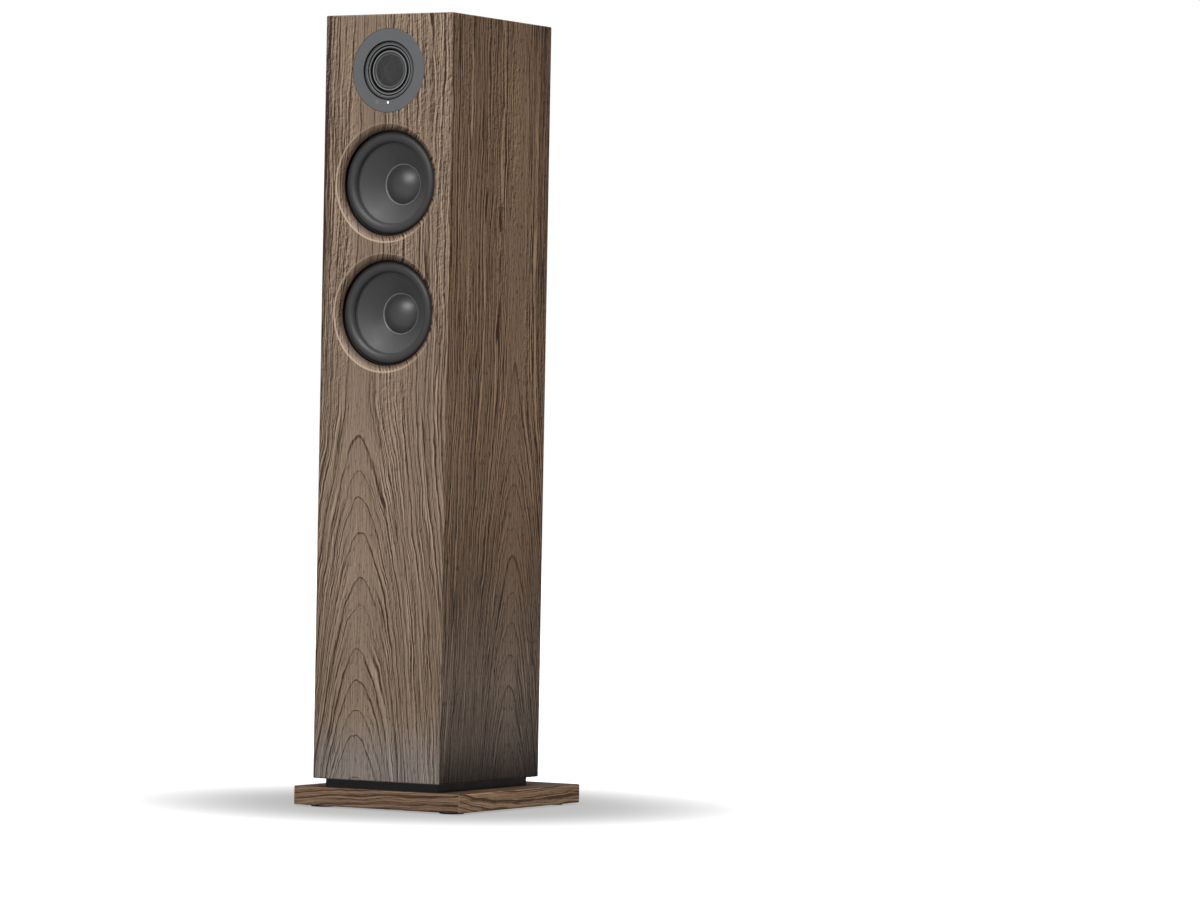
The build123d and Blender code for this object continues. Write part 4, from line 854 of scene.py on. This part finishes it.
def surround_outline():
    """Rubber surround: a lip with a raised bead, the half roll, and the landing glued to the cone."""
    landing = CONE_EDGE_DEPTH - SKIN
    underside = CONE_EDGE_DEPTH - CONE_CLEARANCE
    inner = ROLL_RADIUS - SKIN
    points = [(LIP_RADIUS, LIP_FAR), (LIP_RADIUS, LIP_NEAR + LIP_EASE), (LIP_RADIUS - LIP_EASE, LIP_NEAR)]
    points += arc((LIP_BEAD, LIP_NEAR), LIP_BEAD_SIZE, 0, 180, 8)
    points += arc((ROLL_MIDDLE, LIP_FAR), ROLL_RADIUS, 9, 180, 28)
    points += arc((ROLL_MIDDLE - ROLL_RADIUS - ROLL_FOOT, landing - ROLL_FOOT), ROLL_FOOT, 0, -90, 4)
    points += [(CONE_EDGE, landing), (CONE_EDGE, underside), (ROLL_MIDDLE - inner, underside)]
    points += arc((ROLL_MIDDLE, LIP_FAR), inner, 180, 0, 24)
    return points


def cone_outline():
    """Coated paper cone with a straight wall and a neck."""
    back = CONE_EDGE_DEPTH + SKIN
    points = [(CONE_EDGE + CONE_LANDING, back), (CONE_EDGE + CONE_LANDING, CONE_EDGE_DEPTH)]
    for step in range(CONE_STEPS + 1):
        radius = CONE_EDGE + (CONE_NECK - CONE_EDGE) * step / CONE_STEPS
        points.append((radius, cone_depth(radius)))
    points += [(CONE_NECK, CONE_NECK_END), (CONE_NECK + SKIN, CONE_NECK_END)]
    points += [(CONE_NECK + SKIN, CONE_NECK_DEPTH + SKIN / 2), (CONE_EDGE + SKIN / 2, back)]
    return points


def cap_outline():
    """Domed dust cap, a shallow part of a sphere."""
    rim = cone_depth(CAP_RADIUS) - CAP_CLEARANCE
    sphere = (CAP_RADIUS ** 2 + CAP_RISE ** 2) / (2 * CAP_RISE)
    centre = (0.0, rim - CAP_RISE + sphere)
    front_reach = math.degrees(math.asin(CAP_RADIUS / sphere))
    back_reach = math.degrees(math.asin((CAP_RADIUS - CAP_EDGE) / (sphere - CAP_SKIN)))
    front = arc(centre, sphere, 90, 90 - front_reach, CAP_STEPS)
    return front + arc(centre, sphere - CAP_SKIN, 90 - back_reach, 90, CAP_STEPS)


def bead_outline():
    """A flattened bead of glue that lies on the cone's slope."""
    points = []
    for step in range(BEAD_STEPS):
        angle = math.tau * step / BEAD_STEPS
        outward = BEAD_SIZE * math.cos(angle)
        rise = BEAD_FLATNESS * BEAD_SIZE * math.sin(angle)
        points.append((BEAD_RADIUS + outward, cone_depth(BEAD_RADIUS) - rise - BEAD_SLOPE * outward))
    return points


def spider_outline():
    """Resin-dipped cloth with smooth corrugations between the former and the basket's ledge."""
    front = []
    for step in range(SPIDER_STEPS + 1):
        share = step / SPIDER_STEPS
        wave = SPIDER_WAVE * math.sin(math.tau * SPIDER_WAVES * share)
        front.append((SPIDER_INNER + (SPIDER_OUTER - SPIDER_INNER) * share, SPIDER_DEPTH + wave))
    front += SPIDER_RIM
    return front + [(radius, depth + SPIDER_SKIN) for radius, depth in reversed(front)]


for which, centre in WOOFERS.items():
    body = f"{which}_cone"
    surround = lathe(f"surround_{which}", surround_outline(), centre, "surround_rubber",
                     [f"woofer_surround_{which}"], segments=192)
    flexes(surround, body, centre, *SURROUND_FLEX)
    spider = lathe(f"spider_{which}", spider_outline(), centre, "spider_cloth",
                   [f"woofer_spider_{which}"], segments=96)
    flexes(spider, body, centre, *SPIDER_FLEX)
    cone = lathe(f"cone_{which}", cone_outline(), centre, "cone_paper",
                 [f"woofer_cone_{which}"], segments=192)
    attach(cone, body)
    cap = lathe(f"dust_cap_{which}", cap_outline(), centre, "cap_grey",
                [f"woofer_dust_cap_{which}"], segments=128)
    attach(cap, body)
    bead = lathe(f"cap_bead_{which}", bead_outline(), centre, "bead_grey_highlight", [])
    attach(bead, body)

# ---------------------------------------------------------------- tweeter
MESH_RADIUS = 19.3
MESH_RIM = 18.3
MESH_RISE = 0.9
MESH_RIM_DEPTH = 3.45
MESH_PITCH = 1.25
MESH_HOLE = 0.43 * MESH_PITCH   # radius
MESH_SHEET = 0.35
MESH_FLANGE = 17.8              # inner radius of the rim's ring


def mesh_depth(radius):
    """Depth of the crowned mesh at a radius."""
    return MESH_RIM_DEPTH - MESH_RISE * (1 - (radius / MESH_RADIUS) ** 2)


def tweeter_mesh():
    """Crowned sheet with round holes in a triangular pattern, and the plain rim that holds it."""
    mesh = bmesh.new()
    shared = {}

    def point(x, z):
        key = (round(x, 3), round(z, 3))
        if key not in shared:
            level = FRONT_Y + mesh_depth(math.hypot(x, z)) * MM
            shared[key] = mesh.verts.new((TWEETER.x + x * MM, level, TWEETER.z + z * MM))
        return shared[key]

    rows = int(MESH_RADIUS / (MESH_PITCH * math.sqrt(0.75))) + 1
    columns = int(MESH_RADIUS / MESH_PITCH) + 2
    corner = MESH_PITCH / math.sqrt(3)
    for row in range(-rows, rows + 1):
        for column in range(-columns, columns + 1):
            x = (column + (0.5 if row % 2 else 0.0)) * MESH_PITCH
            z = row * MESH_PITCH * math.sqrt(0.75)
            if math.hypot(x, z) > MESH_RIM - 0.1:
                continue
            outer = []
            inner = []
            for step in range(12):
                angle = math.tau * step / 12
                reach = corner if step % 2 else MESH_PITCH / 2
                outer.append(point(x + reach * math.cos(angle), z + reach * math.sin(angle)))
                inner.append(point(x + MESH_HOLE * math.cos(angle), z + MESH_HOLE * math.sin(angle)))
            for step in range(12):
                after = (step + 1) % 12
                mesh.faces.new((outer[step], outer[after], inner[after], inner[step]))
    bmesh.ops.recalc_face_normals(mesh, faces=mesh.faces)
    data = bpy.data.meshes.new("tweeter_grille")
    mesh.to_mesh(data)
    mesh.free()
    piece = bpy.data.objects.new("tweeter_grille", data)
    bpy.context.scene.collection.objects.link(piece)
    data.materials.append(MATERIALS["mesh_grey"])
    sheet = piece.modifiers.new("sheet", "SOLIDIFY")
    sheet.thickness = MESH_SHEET * MM
    sheet.offset = 0.0
    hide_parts("tweeter_mesh")
    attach(piece, "cabinet")
    near = mesh_depth(MESH_RIM) - 0.3
    outline = [(MESH_FLANGE, near + 0.2), (MESH_RIM - 0.2, near), (MESH_RADIUS - 0.2, near),
               (MESH_RADIUS, near + 0.2), (MESH_RADIUS, near + 0.7), (MESH_FLANGE, near + 0.7)]
    rim = lathe("tweeter_grille_rim", outline, TWEETER, "mesh_grey", [])
    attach(rim, "cabinet")


DOME_RIM = 18.0
DOME_EDGE = 12.6
DOME_ROLL = 14.7                # middle of the half roll
DOME_ROLL_FRONT = 1.7           # the roll's radius in front and at its back
DOME_ROLL_BACK = 1.65
DOME_NEAR = 10.4                # front and back of the flat parts
DOME_FAR = 10.75
DOME_FLEX = (16.6, 12.9)        # still outside the first radius, with the dome inside the second


def tweeter_surround():
    """The dome's narrow half roll."""
    points = [(DOME_RIM, DOME_FAR), (DOME_RIM, DOME_NEAR)]
    points += arc((DOME_ROLL, DOME_NEAR), DOME_ROLL_FRONT, 0, 180, 16)
    points += [(DOME_EDGE, DOME_NEAR), (DOME_EDGE, DOME_FAR)]
    points += arc((DOME_ROLL, DOME_FAR), DOME_ROLL_BACK, 180, 0, 16)
    piece = lathe("dome_surround", points, TWEETER, "dome_silk", ["tweeter_surround"],
                  segments=96)
    flexes(piece, "tweeter_diaphragm", TWEETER, *DOME_FLEX)


tweeter_mesh()
tweeter_surround()

# ---------------------------------------------------------------- studio
FLOOR_REACH = 12.0
FLOOR_SHADE = (0.15, 0.55)      # distances from the origin between which the painted shadow clears
FLOOR_NEAR = (0.11, 0.11, 0.11)
FLOOR_FAR = (0.97, 0.97, 0.97)
FLOOR_FELT = (0.3, 0.3, 0.3)    # what light bounces off, in place of what the camera sees
FLOOR_GLOW = 0.42               # for the camera only
FLOOR_GLOSS = 0.05              # share of a weak gloss
FLOOR_GLOSS_ROUGHNESS = 0.2
WORLD_SEEN = 1.0
WORLD_FELT = 0.24


def make_floor():
    """A wide sheet of paper, with a soft painted shadow round the speaker in what the camera sees."""
    mesh = bpy.data.meshes.new("floor")
    reach = FLOOR_REACH
    corners = [(-reach, -reach, 0), (reach, -reach, 0), (reach, reach, 0), (-reach, reach, 0)]
    mesh.from_pydata(corners, [], [(0, 1, 2, 3)])
    floor = bpy.data.objects.new("floor", mesh)
    bpy.context.scene.collection.objects.link(floor)
    g = Graph("floor_white", (0.95, 0.95, 0.95), 0.3, specular=0.0)
    gloss = g.node("BsdfAnisotropic", {"Color": (1.0, 1.0, 1.0), "Roughness": FLOOR_GLOSS_ROUGHNESS})
    both = g.node("MixShader", {0: FLOOR_GLOSS, 1: g.shader.outputs[0], 2: gloss.outputs[0]})
    g.put(both.outputs[0], g.nodes["Material Output"].inputs[0])
    away = g.node("VectorMath", {0: g.place()}, operation="LENGTH").outputs["Value"]
    # Painted shadow: the paper the camera sees is darker near the speaker.
    paper = g.mix(g.step(away, *FLOOR_SHADE), FLOOR_NEAR, FLOOR_FAR)
    seen = g.node("LightPath").outputs["Is Camera Ray"]
    g.colour(g.mix(seen, FLOOR_FELT, paper))
    g.shader.inputs["Emission Color"].default_value = (1.0, 1.0, 1.0, 1.0)
    g.put(g.math("MULTIPLY", seen, FLOOR_GLOW), g.shader.inputs["Emission Strength"])
    mesh.materials.append(g.material)


def area_light(name, place, aim, size, power):
    data = bpy.data.lights.new(name, "AREA")
    data.shape = "RECTANGLE"
    data.size, data.size_y = size
    data.energy = power
    light = bpy.data.objects.new(name, data)
    light.location = place
    light.rotation_euler = (Vector(aim) - Vector(place)).to_track_quat("-Z", "Y").to_euler()
    bpy.context.scene.collection.objects.link(light)


def sun_light(name, towards, strength, spread):
    """An even light from a direction, spread over an angle in degrees."""
    data = bpy.data.lights.new(name, "SUN")
    data.energy = strength
    data.angle = math.radians(spread)
    light = bpy.data.objects.new(name, data)
    light.rotation_euler = Vector(towards).to_track_quat("Z", "Y").to_euler()
    bpy.context.scene.collection.objects.link(light)


def make_world():
    """White behind the speaker, with a dimmer light from all round."""
    world = bpy.data.worlds.new("studio")
    bpy.context.scene.world = world
    world.use_nodes = True
    tree = world.node_tree
    seen = tree.nodes["Background"]
    seen.inputs[0].default_value = (1, 1, 1, 1)
    seen.inputs[1].default_value = WORLD_SEEN
    felt = tree.nodes.new("ShaderNodeBackground")
    felt.inputs[1].default_value = WORLD_FELT
    rays = tree.nodes.new("ShaderNodeLightPath")
    choose = tree.nodes.new("ShaderNodeMixShader")
    tree.links.new(rays.outputs["Is Camera Ray"], choose.inputs[0])
    tree.links.new(felt.outputs[0], choose.inputs[1])
    tree.links.new(seen.outputs[0], choose.inputs[2])
    tree.links.new(choose.outputs[0], tree.nodes["World Output"].inputs[0])


make_floor()
make_world()
area_light("key", place=(0.7, -3.0, 2.4), aim=(0, 0, 0.5), size=(2.2, 1.6), power=55)
sun_light("overhead", towards=(0.15, -0.2, 1.0), strength=2.9, spread=50)
bpy.context.scene.view_settings.view_transform = "Standard"
